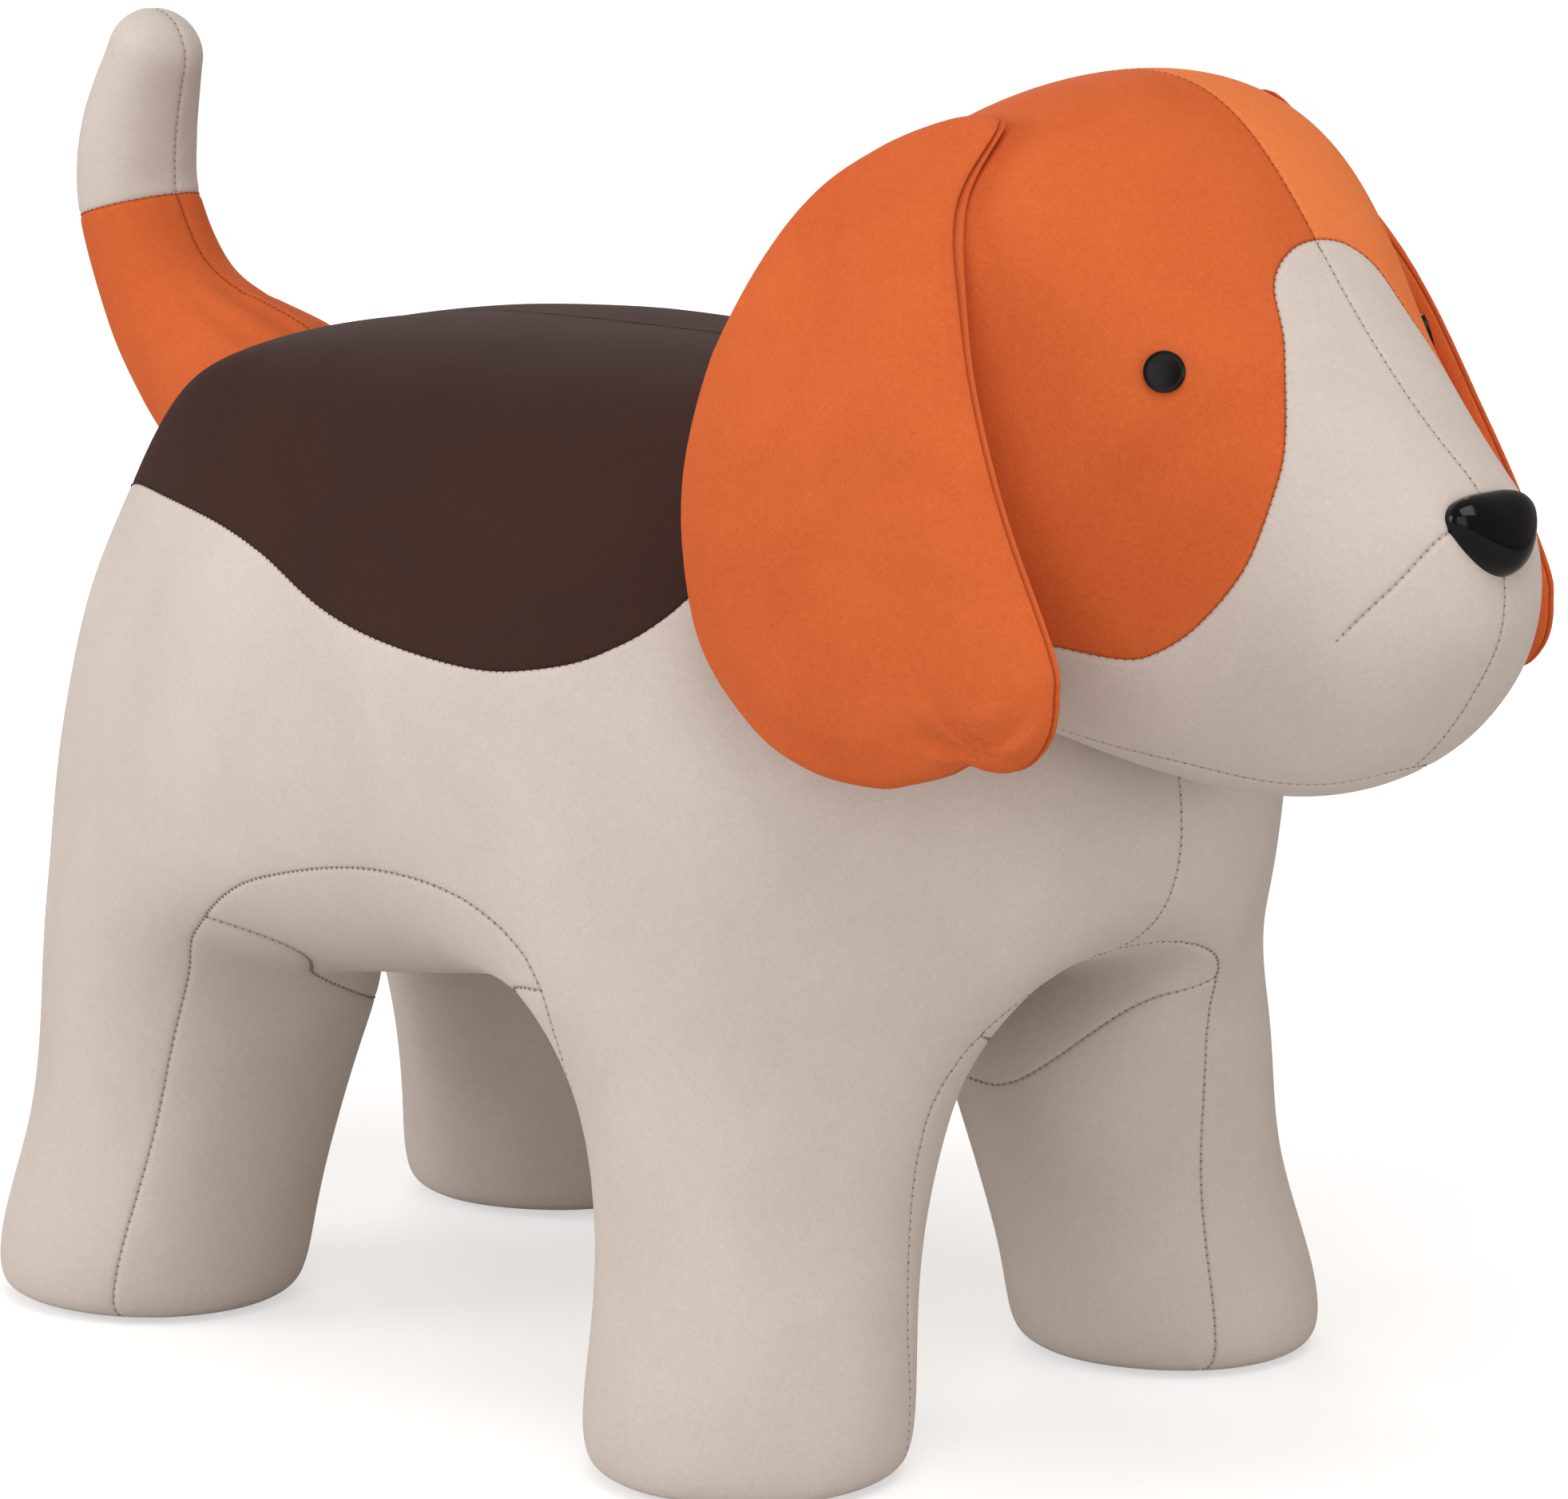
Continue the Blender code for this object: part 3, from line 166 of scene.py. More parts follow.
# %% [markdown]
# ## Threads, plastics, wood and metal
#
# Small things show how the stool is made. The thread is twisted, so it has fine slanting ridges. The nose
# is moulded and polished plastic with a faint waviness, the eyes are the same with a duller face, and the
# frame inside is sawn softwood, plywood and plated steel.

# %% Small materials
def thread_material(name, dark, light):
    """Makes a twisted sewing thread."""
    material, tree, shader = principled(name, 0.7)
    place = tree.nodes.new("ShaderNodeTexCoord")
    wave = add_node(tree, "ShaderNodeTexWave", Scale=900.0, Distortion=1.5)
    ramp = colour_ramp(tree, dark, light)
    tree.links.new(place.outputs["Object"], wave.inputs["Vector"])
    tree.links.new(wave.outputs["Fac"], ramp.inputs["Fac"])
    tree.links.new(ramp.outputs["Color"], shader.inputs["Base Color"])
    return material


def polished(name, colour, roughness, waviness, shine=0.5):
    """Makes a moulded plastic with a slightly wavy surface."""
    material, tree, shader = principled(name, roughness, (*colour, 1.0))
    place = tree.nodes.new("ShaderNodeTexCoord")
    waves = add_node(tree, "ShaderNodeTexNoise", Scale=90.0, Detail=2.0)
    haze = add_node(tree, "ShaderNodeTexNoise", Scale=260.0, Detail=4.0)
    spread = add_node(tree, "ShaderNodeMapRange")
    spread.inputs["To Min"].default_value = roughness * 0.8
    spread.inputs["To Max"].default_value = roughness * 1.3
    bump = add_node(tree, "ShaderNodeBump", Strength=waviness, Distance=0.0003)
    for node in (waves, haze):
        tree.links.new(place.outputs["Object"], node.inputs["Vector"])
    tree.links.new(haze.outputs["Fac"], spread.inputs["Value"])
    tree.links.new(spread.outputs["Result"], shader.inputs["Roughness"])
    tree.links.new(waves.outputs["Fac"], bump.inputs["Height"])
    tree.links.new(bump.outputs["Normal"], shader.inputs["Normal"])
    shader.inputs["Specular IOR Level"].default_value = shine
    return material


def grained(name, dark, light, direction, scale):
    """Makes wood with long grain along a direction."""
    material, tree, shader = principled(name, 0.6)
    place = tree.nodes.new("ShaderNodeTexCoord")
    stretch = tree.nodes.new("ShaderNodeMapping")
    stretch.inputs["Scale"].default_value = direction
    grain = add_node(tree, "ShaderNodeTexNoise", Scale=scale, Detail=6.0, Distortion=1.2)
    ramp = colour_ramp(tree, dark, light)
    ramp.color_ramp.elements[0].position, ramp.color_ramp.elements[1].position = 0.32, 0.68
    bump = add_node(tree, "ShaderNodeBump", Strength=0.2, Distance=0.0003)
    tree.links.new(place.outputs["Object"], stretch.inputs["Vector"])
    tree.links.new(stretch.outputs["Vector"], grain.inputs["Vector"])
    tree.links.new(grain.outputs["Fac"], ramp.inputs["Fac"])
    tree.links.new(ramp.outputs["Color"], shader.inputs["Base Color"])
    tree.links.new(grain.outputs["Fac"], bump.inputs["Height"])
    tree.links.new(bump.outputs["Normal"], shader.inputs["Normal"])
    return material


def plated(name, colour):
    """Makes zinc-plated steel with faint brushing."""
    material, tree, shader = principled(name, 0.35, (*colour, 1.0))
    shader.inputs["Metallic"].default_value = 1.0
    place = tree.nodes.new("ShaderNodeTexCoord")
    brush = add_node(tree, "ShaderNodeTexNoise", Scale=400.0, Detail=3.0)
    spread = add_node(tree, "ShaderNodeMapRange")
    spread.inputs["To Min"].default_value = 0.28
    spread.inputs["To Max"].default_value = 0.46
    tree.links.new(place.outputs["Object"], brush.inputs["Vector"])
    tree.links.new(brush.outputs["Fac"], spread.inputs["Value"])
    tree.links.new(spread.outputs["Result"], shader.inputs["Roughness"])
    return material


# partly painted shade: the cream and orange threads are much darker than the real thread, which is only a
# little darker than its cloth, so they also stand for the shadow at the needle holes
cream_thread = thread_material("cream_thread", (0.20, 0.155, 0.125), (0.34, 0.275, 0.23))
orange_thread = thread_material("orange_thread", (0.30, 0.060, 0.018), (0.46, 0.105, 0.032))
brown_thread = thread_material("brown_thread", (0.028, 0.012, 0.010), (0.060, 0.030, 0.026))
nose_plastic = polished("nose_plastic", (0.003, 0.003, 0.003), 0.12, 0.08, 0.24)
eye_plastic = polished("eye_plastic", (0.004, 0.003, 0.003), 0.30, 0.05, 0.20)
glide_plastic = polished("glide_plastic", (0.03, 0.03, 0.03), 0.45, 0.3)
washer_plastic = polished("washer_plastic", (0.75, 0.75, 0.73), 0.40, 0.1)
pine = grained("pine_wood", (0.48, 0.30, 0.15), (0.68, 0.49, 0.29), (1.0, 1.0, 0.12), 60.0)
plywood = grained("plywood", (0.50, 0.34, 0.19), (0.66, 0.48, 0.30), (1.0, 0.10, 1.0), 80.0)
steel = plated("plated_steel", (0.60, 0.60, 0.62))
print("small materials", len(bpy.data.materials))

# %% [markdown]
# ## Surfaces as arrays
#
# Panels with crisp seams could be cut with Booleans, but a fine skin is quicker to cut in arrays. Each
# point carries its distance to every seam. Where such a distance passes a level, triangles are split
# exactly there, so a seam becomes a line of edges, with rows of edges beside it that can be pressed in.

# %% Lines, distances and cuts
def smooth_line(points, step=0.003, closed=False):
    """Runs an even, smooth line through points of any dimension."""
    points = np.array(points, float)
    count = len(points)
    index = np.arange(count if closed else count - 1)
    pick = (lambda i: points[i % count]) if closed else (lambda i: points[np.clip(i, 0, count - 1)])
    a, b, c, d = pick(index - 1), pick(index), pick(index + 1), pick(index + 2)
    t = np.linspace(0, 1, 24, endpoint=False)[None, :, None]
    a, b, c, d = (x[:, None, :] for x in (a, b, c, d))
    line = 0.5 * (2 * b + (c - a) * t + (2 * a - 5 * b + 4 * c - d) * t ** 2
                  + (3 * b - a - 3 * c + d) * t ** 3)
    line = line.reshape(-1, points.shape[1])
    line = np.vstack([line, points[:1] if closed else points[-1:]])
    length = np.r_[0, np.cumsum(np.linalg.norm(np.diff(line, axis=0), axis=1))]
    places = np.linspace(0, length[-1], max(int(length[-1] / step), 2) + 1)
    if closed:
        places = places[:-1]
    return np.stack([np.interp(places, length, line[:, k]) for k in range(line.shape[1])], 1)


def line_distance(places, line):
    """Gives the signed distance of plane points from a line, positive on its left, and the way across it."""
    start, run = line[:-1], np.diff(line, axis=0)
    length = np.linalg.norm(run, axis=1)
    left = np.stack([-run[:, 1], run[:, 0]], 1) / length[:, None]
    distance, across = np.empty(len(places)), np.empty((len(places), 2))
    batch = 20000
    for low in range(0, len(places), batch):
        part = places[low:low + batch]
        reach = part[:, None, :] - start[None]
        t = np.clip((reach * run[None]).sum(2) / length ** 2, 0, 1)
        gap = reach - t[..., None] * run[None]
        squared = (gap ** 2).sum(2)
        near = squared.argmin(1)
        rows = np.arange(len(part))
        side = np.sign((gap[rows, near] * left[near]).sum(1))
        distance[low:low + batch] = side * np.sqrt(squared[rows, near])
        across[low:low + batch] = left[near]
    return distance, across


def normals_of(points, faces):
    """Gives the smooth normal at each point."""
    a, b, c = (points[faces[:, k]] for k in range(3))
    face = np.cross(b - a, c - a)
    result = np.zeros_like(points)
    for k in range(3):
        np.add.at(result, faces[:, k], face)
    return result / np.maximum(np.linalg.norm(result, axis=1), 1e-12)[:, None]


def on_skin(distance, across, normals, axes):
    """Turns a distance in a plane view into one along the skin."""
    way = np.zeros((len(normals), 3))
    for k, axis in enumerate(axes):
        way[:, axis] = across[:, k]
    lean = (way * normals).sum(1)
    return distance / np.sqrt(np.maximum(1 - lean ** 2, 0.12))


def edges_of(faces):
    """Gives the directed edges of all triangles."""
    return np.vstack([faces[:, [0, 1]], faces[:, [1, 2]], faces[:, [2, 0]]])


def cut_at(points, faces, values, fixed, column, level, active=None, snap=0.14):
    """Splits the triangles where one column of values passes a level, and gives the new arrays."""
    active = np.ones(len(points), bool) if active is None else active(values)
    value = values[:, column] - level
    edges = np.unique(np.sort(edges_of(faces), axis=1), axis=0)
    passing = (value[edges[:, 0]] * value[edges[:, 1]] < 0) & active[edges].all(1)
    edges = edges[passing]
    share = value[edges[:, 0]] / (value[edges[:, 0]] - value[edges[:, 1]])
    for end, near in ((0, share < snap), (1, share > 1 - snap)):
        chosen = np.flatnonzero(near & ~fixed[edges[:, end]])
        ends, first = np.unique(edges[chosen, end], return_index=True)
        chosen = chosen[first]
        other = edges[chosen, 1 - end]
        t = (share[chosen] if end == 0 else 1 - share[chosen])[:, None]
        still = np.abs(value[ends]) > 0
        ends, other, t = ends[still], other[still], t[still]
        points[ends] += (points[other] - points[ends]) * t
        values[ends] += (values[other] - values[ends]) * t
        values[ends, column] = level
        value[ends] = 0.0
        fixed[ends] = True
    passing = value[edges[:, 0]] * value[edges[:, 1]] < 0
    edges = edges[passing]
    share = (value[edges[:, 0]] / (value[edges[:, 0]] - value[edges[:, 1]]))[:, None]
    count = len(points)
    points = np.vstack([points, points[edges[:, 0]] * (1 - share) + points[edges[:, 1]] * share])
    fresh = values[edges[:, 0]] * (1 - share) + values[edges[:, 1]] * share
    fresh[:, column] = level
    values = np.vstack([values, fresh])
    fixed = np.r_[fixed, np.ones(len(edges), bool)]
    keys = edges[:, 0] * (count + 1) + edges[:, 1]
    order = np.argsort(keys)

    def middle(a, b):
        """Gives the index of the new point on each edge, or -1."""
        key = np.minimum(a, b) * (count + 1) + np.maximum(a, b)
        at = np.clip(np.searchsorted(keys[order], key), 0, max(len(keys) - 1, 0))
        if not len(keys):
            return np.full(len(a), -1)
        return np.where(keys[order][at] == key, count + order[at], -1)

    mids = np.stack([middle(faces[:, k], faces[:, (k + 1) % 3]) for k in range(3)], 1)
    cuts = (mids >= 0).sum(1)
    made = [faces[cuts == 0]]
    for turn in range(3):
        a, b, c = (faces[:, (turn + k) % 3] for k in range(3))
        ab, bc, ca = (mids[:, (turn + k) % 3] for k in range(3))
        one = (cuts == 1) & (ab >= 0)
        made += [np.stack([a, ab, c], 1)[one], np.stack([ab, b, c], 1)[one]]
        two = (cuts == 2) & (ab >= 0) & (ca >= 0)
        made += [np.stack([a, ab, ca], 1)[two], np.stack([ab, b, c], 1)[two], np.stack([ab, c, ca], 1)[two]]
    return points, np.vstack(made), values, fixed


print("smooth line has", len(smooth_line([(0, 0), (0.1, 0.05), (0.2, 0)])), "points")

# %% [markdown]
# ## Forms
#
# The body is a rounded box with four legs drawn down from its corners, and the head a row of rounded
# sections. Both are coarse cages that subdivision rounds off. The same few sizes made the plain covers, so
# the fine skin lies where they do.

# %% Cages of the body and the head
seat_height, body_width, body_length, body_y = 0.383, 0.165, 0.261, -0.006
leg_radius, foot_lift = 0.061, 0.002
across_shares = (-1.0, -0.66, -0.31, 0.0, 0.31, 0.66, 1.0)
along_shares = (-1.0, -0.68, -0.38, 0.0, 0.38, 0.68, 1.0)
body_levels = ((0.450, 1.075, 0.900, 0.990, 2.6), (0.669, 1.030, 1.0125, 0.940, 2.6),
               (0.816, 0.960, 0.925, 0.830, 2.5))
leg_rings = ((0.335, 1.23, 0.23), (0.190, 1.055, 0.53), (0.070, 1.085, 0.93), (0.0, 1.065, 1.0),
             (0.0, 0.80, 1.0))
leg_backs = {-1: (0.84, 0.88, 0.96, 1.0, 1.0), 1: (1.0, 1.02, 1.08, 1.08, 1.08)}
foot_places = {-1: ((0.113, -0.166), (0.081, -0.144)), 1: ((0.108, 0.167), (0.077, 0.1455))}
head_stations = ((-0.135, 0.080, 0.427, 0.300, 2.4), (-0.180, 0.111, 0.476, 0.275, 2.3),
                 (-0.235, 0.1305, 0.500, 0.2633, 2.2), (-0.290, 0.0986, 0.492, 0.2472, 2.26),
                 (-0.3344, 0.066, 0.4265, 0.2452, 2.37), (-0.375, 0.054, 0.380, 0.2625, 2.31),
                 (-0.397, 0.037, 0.3643, 0.2947, 2.275))


class Cage:
    """Points and quads of a cage, each point kept by its key."""

    def __init__(self):
        self.points, self.faces, self.found = [], [], {}

    def point(self, key, place):
        if key not in self.found:
            self.found[key] = len(self.points)
            self.points.append(place)
        return self.found[key]


def box_quads(across, along, up):
    """Yields the quads of a box's surface as grid keys."""
    for i in range(across):
        for j in range(along):
            yield [(i, j, 0), (i, j + 1, 0), (i + 1, j + 1, 0), (i + 1, j, 0)]
            yield [(i, j, up), (i + 1, j, up), (i + 1, j + 1, up), (i, j + 1, up)]
    for k in range(up):
        for i in range(across):
            yield [(i, 0, k), (i + 1, 0, k), (i + 1, 0, k + 1), (i, 0, k + 1)]
            yield [(i, along, k), (i, along, k + 1), (i + 1, along, k + 1), (i + 1, along, k)]
        for j in range(along):
            yield [(0, j, k), (0, j, k + 1), (0, j + 1, k + 1), (0, j + 1, k)]
            yield [(across, j, k), (across, j + 1, k), (across, j + 1, k + 1), (across, j, k + 1)]


def rounded(u, v, power):
    """Draws a point of a square in to a rounded square, and gives how far out it was."""
    reach = max(abs(u), abs(v))
    if reach == 0:
        return 0.0, 0.0, 0.0
    scale = reach / (abs(u) ** power + abs(v) ** power) ** (1 / power)
    return u * scale, v * scale, reach


def body_point(key):
    """Places one point of the body's cage."""
    i, j, k = key
    u, v = across_shares[i], along_shares[j]
    if k == len(body_levels):
        a, b, reach = rounded(u, v, 3.2)
        height = 1.0 - 0.055 * reach ** 3
        return a * body_width * 0.675, body_y + b * body_length * 0.769, height * seat_height
    height, width, front, rear, power = body_levels[k]
    a, b, reach = rounded(u, v, power)
    y = body_y + b * body_length * (rear if b > 0 else front)
    if k == 0:
        on_side, on_end = abs(u) == 1, abs(v) == 1
        if on_side or on_end:
            height += 0.060 * max(0.0, 1 - (abs(v) / 0.38 if on_side else abs(u) / 0.31))
        else:
            height = 0.385 - 0.085 * max(-0.38, min(0.38, v))
        bulge = 1 - (u / 0.72) ** 2
        if on_end and not on_side:
            y += (0.040 if v > 0 else -0.130) * body_length * bulge
        elif not on_side and abs(u) < 0.5 and v < -0.5:
            y -= 0.130 * body_length * 0.5
    return a * body_width * width, y, height * seat_height


def body_cage():
    """Builds the cage of the body with its four legs."""
    cage = Cage()
    corners = [(i, j) for i in (0, 4) for j in (0, 4)]
    for quad in box_quads(6, 6, 3):
        i, j = min(key[0] for key in quad), min(key[1] for key in quad)
        if all(key[2] == 0 for key in quad) and any(i - a in (0, 1) and j - b in (0, 1) for a, b in corners):
            continue
        cage.faces.append([cage.point(key, body_point(key)) for key in quad])
    order = [(0, 0), (1, 0), (2, 0), (2, 1), (2, 2), (1, 2), (0, 2), (0, 1)]
    for i, j in corners:
        side, end = (-1 if i == 0 else 1), (-1 if j == 0 else 1)
        foot, top = foot_places[end]
        upper = [cage.point((i + a, j + b, 0), body_point((i + a, j + b, 0))) for a, b in order]
        for level, (height, radius, way) in enumerate(leg_rings):
            x, y = side * (top[0] + (foot[0] - top[0]) * way), top[1] + (foot[1] - top[1]) * way
            z, reach = foot_lift + height * seat_height, leg_radius * radius
            ring = []
            for a, b in order:
                angle = math.atan2(b - 1, a - 1)
                back = reach * math.sin(angle)
                if back * end < 0:
                    back *= leg_backs[end][level]
                place = (x + reach * math.cos(angle), y + back, z)
                ring.append(cage.point((i, j, level, a, b), place))
            for at in range(8):
                cage.faces.append([ring[at], ring[(at + 1) % 8], upper[(at + 1) % 8], upper[at]])
            upper = ring
        middle = cage.point((i, j, "sole"), (x, y, z))
        for at in range(0, 8, 2):
            cage.faces.append([middle, upper[(at + 2) % 8], upper[(at + 1) % 8], upper[at]])
    return cage


def head_cage():
    """Builds the cage of the head from its stations."""
    cage = Cage()
    last = len(head_stations) - 1
    shares = (-1.0, -0.5, 0.0, 0.5, 1.0)
    for quad in box_quads(4, last, 4):
        corner = []
        for i, j, k in quad:
            y, width, top, bottom, power = head_stations[j]
            a, b, reach = rounded(shares[i], shares[k], power)
            waist = bottom + (top - bottom) * 0.45
            z = waist + b * ((top - waist) if b > 0 else (waist - bottom))
            dome = 1 - reach ** 2
            y += 0.0199 * dome if j == 0 else 0.0
            y -= 0.01205 * dome if j == last else 0.0
            corner.append(cage.point((i, j, k), (a * width, y, z)))
        cage.faces.append(corner)
    return cage


def subdivided(name, cage, levels):
    """Rounds a cage off and gives its points and triangles."""
    mesh = bpy.data.meshes.new(name)
    mesh.from_pydata([tuple(p) for p in cage.points], [], cage.faces)
    form = bpy.data.objects.new(name, mesh)
    bpy.context.scene.collection.objects.link(form)
    rounding = form.modifiers.new("round", "SUBSURF")
    rounding.levels = rounding.render_levels = levels
    bpy.context.view_layer.update()
    fine = form.evaluated_get(bpy.context.evaluated_depsgraph_get()).to_mesh()
    points = np.empty(len(fine.vertices) * 3)
    fine.vertices.foreach_get("co", points)
    corners = np.empty(len(fine.loops), int)
    fine.loops.foreach_get("vertex_index", corners)
    quads = corners.reshape(-1, 4)
    points = points.reshape(-1, 3)
    bpy.data.objects.remove(form, do_unlink=True)
    bpy.data.meshes.remove(mesh)
    faces = np.vstack([quads[:, [0, 1, 2]], quads[:, [0, 2, 3]]])
    centre = points[faces].mean(1)
    way = np.cross(points[faces[:, 1]] - points[faces[:, 0]], points[faces[:, 2]] - points[faces[:, 0]])
    volume = (centre * way).sum()
    return points, faces if volume > 0 else faces[:, ::-1]


# %% [markdown]
# ## Swelling of the cloth
#
# Stuffing pushes the cloth out between its seams. Cloth simulation with pressure does the same: the seams
# are held, the rest swells, and the movement is capped at a few millimetres so that the panels keep their
# size. It runs on a coarse copy, which takes seconds instead of minutes, and the fine skin is moved along
# with it.

# %% Swelling between the seams
def puffed(name, points, faces, pinned, pressure, cap):
    """Lets cloth swell between its pinned places and gives how far each point moves, up to a cap."""
    mesh = bpy.data.meshes.new(name)
    mesh.from_pydata(points.tolist(), [], faces.tolist())
    form = bpy.data.objects.new(name, mesh)
    bpy.context.scene.collection.objects.link(form)
    group = form.vertex_groups.new(name="pinned")
    for index, weight in enumerate(pinned):
        if weight > 0.01:
            group.add([index], float(weight), "REPLACE")
    sewing = form.modifiers.new("swell", "CLOTH")
    settings = sewing.settings
    settings.quality = 4
    settings.mass = 0.3
    settings.tension_stiffness = settings.compression_stiffness = 12.0
    settings.bending_stiffness = 0.6
    settings.use_pressure = True
    settings.uniform_pressure_force = pressure
    settings.vertex_group_mass = "pinned"
    settings.effector_weights.gravity = 0.0
    sewing.collision_settings.use_collision = False
    sewing.collision_settings.use_self_collision = False
    last_frame = 20
    sewing.point_cache.frame_start, sewing.point_cache.frame_end = 1, last_frame
    scene = bpy.context.scene
    for frame_number in range(1, last_frame + 1):
        scene.frame_set(frame_number)
    swollen = form.evaluated_get(bpy.context.evaluated_depsgraph_get()).to_mesh()
    moved = np.empty(len(swollen.vertices) * 3)
    swollen.vertices.foreach_get("co", moved)
    bpy.data.objects.remove(form, do_unlink=True)
    bpy.data.meshes.remove(mesh)
    scene.frame_set(1)
    way = moved.reshape(-1, 3) - points
    far = np.maximum(np.linalg.norm(way, axis=1), 1e-9)[:, None]
    print(name, "swells by up to", round(1000 * float(far.max()), 2), "mm before the cap")
    return way * (np.tanh(far / cap) * cap / far)


def tree_of(points):
    """Makes a search tree of points."""
    tree = KDTree(len(points))
    for index, place in enumerate(points):
        tree.insert(place, index)
    tree.balance()
    return tree


def swell(name, coarse, held, points, pressure, cap):
    """Simulates a coarse copy of a skin, held where the fine one is, and moves the fine points with it."""
    fine_tree = tree_of(points)
    nearest = [fine_tree.find(place)[1] for place in coarse[0]]
    way = puffed(name, coarse[0], coarse[1], held[nearest], pressure, cap)
    coarse_tree = tree_of(coarse[0])
    neighbours, softening = 6, 0.0005
    result = points.copy()
    for index, place in enumerate(points):
        near = coarse_tree.find_n(place, neighbours)
        weight = np.array([1 / (gap + softening) ** 2 for _, _, gap in near])
        result[index] += (way[[at for _, at, _ in near]] * weight[:, None]).sum(0) / weight.sum()
    return result


body_points, body_faces = subdivided("body_round", body_cage(), fineness)
head_points, head_faces = subdivided("head_round", head_cage(), fineness)
print("body", len(body_faces), "head", len(head_faces), "triangles")

# %% [markdown]
# ## Seams
#
# Most seams are lines in a side, front or top view. For each one, the skin gets rows of edges at a few
# distances on both sides, and a profile presses the middle row in by about half a millimetre. Around it the
# cloth puckers a little, as cloth does where a stitch pulls it.

# %% Panels from seams
seam_rows = (0.0, -0.0004, 0.0004, -0.0010, 0.0010, -0.0024, 0.0024)
seam_shadow_halfwidth = 0.0010    # half width of the line of painted shade along a seam
on_seam = 1e-6        # slack for points that lie on a seam


def grain_noise(points, scale, seed):
    """Gives smooth noise between about -1 and 1 at each point."""
    shift = Vector((seed * 7.31, seed * 3.17, seed * 5.77))
    return np.array([noise.noise(Vector(p) * scale + shift) for p in points])


def sewn(points, faces, columns, seams):
    """Cuts and presses seams along columns of distances.

    A seam is (column, depth, width, mask, active). The mask says how far it is pressed in at each point, and
    active where the skin is cut. None stands for everywhere.
    """
    values = np.stack(columns, 1)
    fixed = np.zeros(len(points), bool)
    points = points.copy()
    for column, depth, width, mask, active in seams:
        for level in seam_rows:
            points, faces, values, fixed = cut_at(points, faces, values, fixed, column, level, active)
    normals = normals_of(points, faces)
    press = np.zeros(len(points))
    nearest = np.full(len(points), 1.0)
    for column, depth, width, mask, active in seams:
        distance = np.abs(values[:, column])
        here = 1.0 if mask is None else mask(values)
        press += here * depth * np.exp(-(distance / width) ** 1.35)
        # painted shade: this seam value, near 0 on a seam, darkens the cloth there in the shader
        nearest = np.minimum(nearest, np.where(here > 0.4, distance / seam_shadow_halfwidth, 1.0))
    return points, faces, values, normals, press, np.clip(nearest, 0, 1)


def seam_chains(faces, values, column, allowed):
    """Collects the edges that lie on a seam into runs of points in order."""
    edges = edges_of(faces)
    on = (np.abs(values[:, column]) < 1e-9) & allowed
    edges = np.unique(np.sort(edges[on[edges].all(1)], axis=1), axis=0)
    links = {}
    for a, b in edges.tolist():
        links.setdefault(a, []).append(b)
        links.setdefault(b, []).append(a)
    seen, chains = set(), []
    starts = [a for a in links if len(links[a]) != 2] + list(links)
    for start in starts:
        for first in links[start]:
            if (start, first) in seen:
                continue
            chain, here = [start], first
            seen.update({(start, first), (first, start)})
            while True:
                chain.append(here)
                onward = [n for n in links[here] if (here, n) not in seen]
                if len(links[here]) != 2 or not onward:
                    break
                seen.update({(here, onward[0]), (onward[0], here)})
                here = onward[0]
            chains.append(chain)
    return chains


stitch_sets = {}


def add_stitches(kind, skin, column, allowed=None, length=0.0021, pitch=0.0030, lean=0.35, rise=0.00030):
    """Remembers small threads across a seam where it is allowed, to be made into one piece later."""
    points, normals, faces, values = skin
    allowed = np.ones(len(points), bool) if allowed is None else allowed
    for chain in seam_chains(faces, values, column, allowed):
        line, out = points[chain], normals[chain]
        steps = np.linalg.norm(np.diff(line, axis=0), axis=1)
        total = steps.sum()
        if total < 2 * pitch:
            continue
        along = np.r_[0, np.cumsum(steps)]
        places = np.arange(pitch / 2, total, pitch)
        spots = np.stack([np.interp(places, along, line[:, k]) for k in range(3)], 1)
        ups = np.stack([np.interp(places, along, out[:, k]) for k in range(3)], 1)
        ahead = np.stack([np.interp(places + 0.001, along, line[:, k]) for k in range(3)], 1)
        behind = np.stack([np.interp(places - 0.001, along, line[:, k]) for k in range(3)], 1)
        for index, (spot, up, way) in enumerate(zip(spots, ups, ahead - behind)):
            way = way / max(np.linalg.norm(way), 1e-9)
            across = np.cross(up, way)
            across = across / max(np.linalg.norm(across), 1e-9)
            turn = lean * (1 if index % 2 else -1) + 0.25 * math.sin(index * 12.9898)
            bar = across * math.cos(turn) + way * math.sin(turn)
            size = length * (0.85 + 0.3 * abs(math.sin(index * 78.233)))
            stitch_sets.setdefault(kind, []).append((spot + up * rise, bar * size / 2, way, up))


def smoothstep(low, high, x):
    """Rises from 0 to 1 between two values, without a corner."""
    t = np.clip((x - low) / (high - low), 0, 1)
    return t * t * (3 - 2 * t)


print("seam rows at", [round(1000 * r, 1) for r in seam_rows], "mm")

# %% [markdown]
# ## Making pieces
#
# A panel becomes an object of its own. Its cut edge turns in under the seam, like a seam allowance, so
# panels meet in a groove with no light through it. It then stands in for its plain cover, which is hidden,
# rides on the same body and gets the cloth it is given.

# %% Pieces from panels
def piece_from(name, points, faces, material, attributes=None):
    """Makes a smooth-shaded object from arrays, moved to the shared frame."""
    used, index = np.unique(faces, return_inverse=True)
    mesh = bpy.data.meshes.new(name)
    places = points[used] + np.array([0.0, middle_y, 0.0])
    mesh.from_pydata(places.tolist(), [], index.reshape(-1, 3).tolist())
    for key, data in (attributes or {}).items():
        layer = mesh.attributes.new(key, "FLOAT", "POINT")
        layer.data.foreach_set("value", data[used].astype(np.float32))
    mesh.shade_smooth()
    piece = bpy.data.objects.new(name, mesh)
    bpy.context.scene.collection.objects.link(piece)
    mesh.materials.append(material)
    return piece


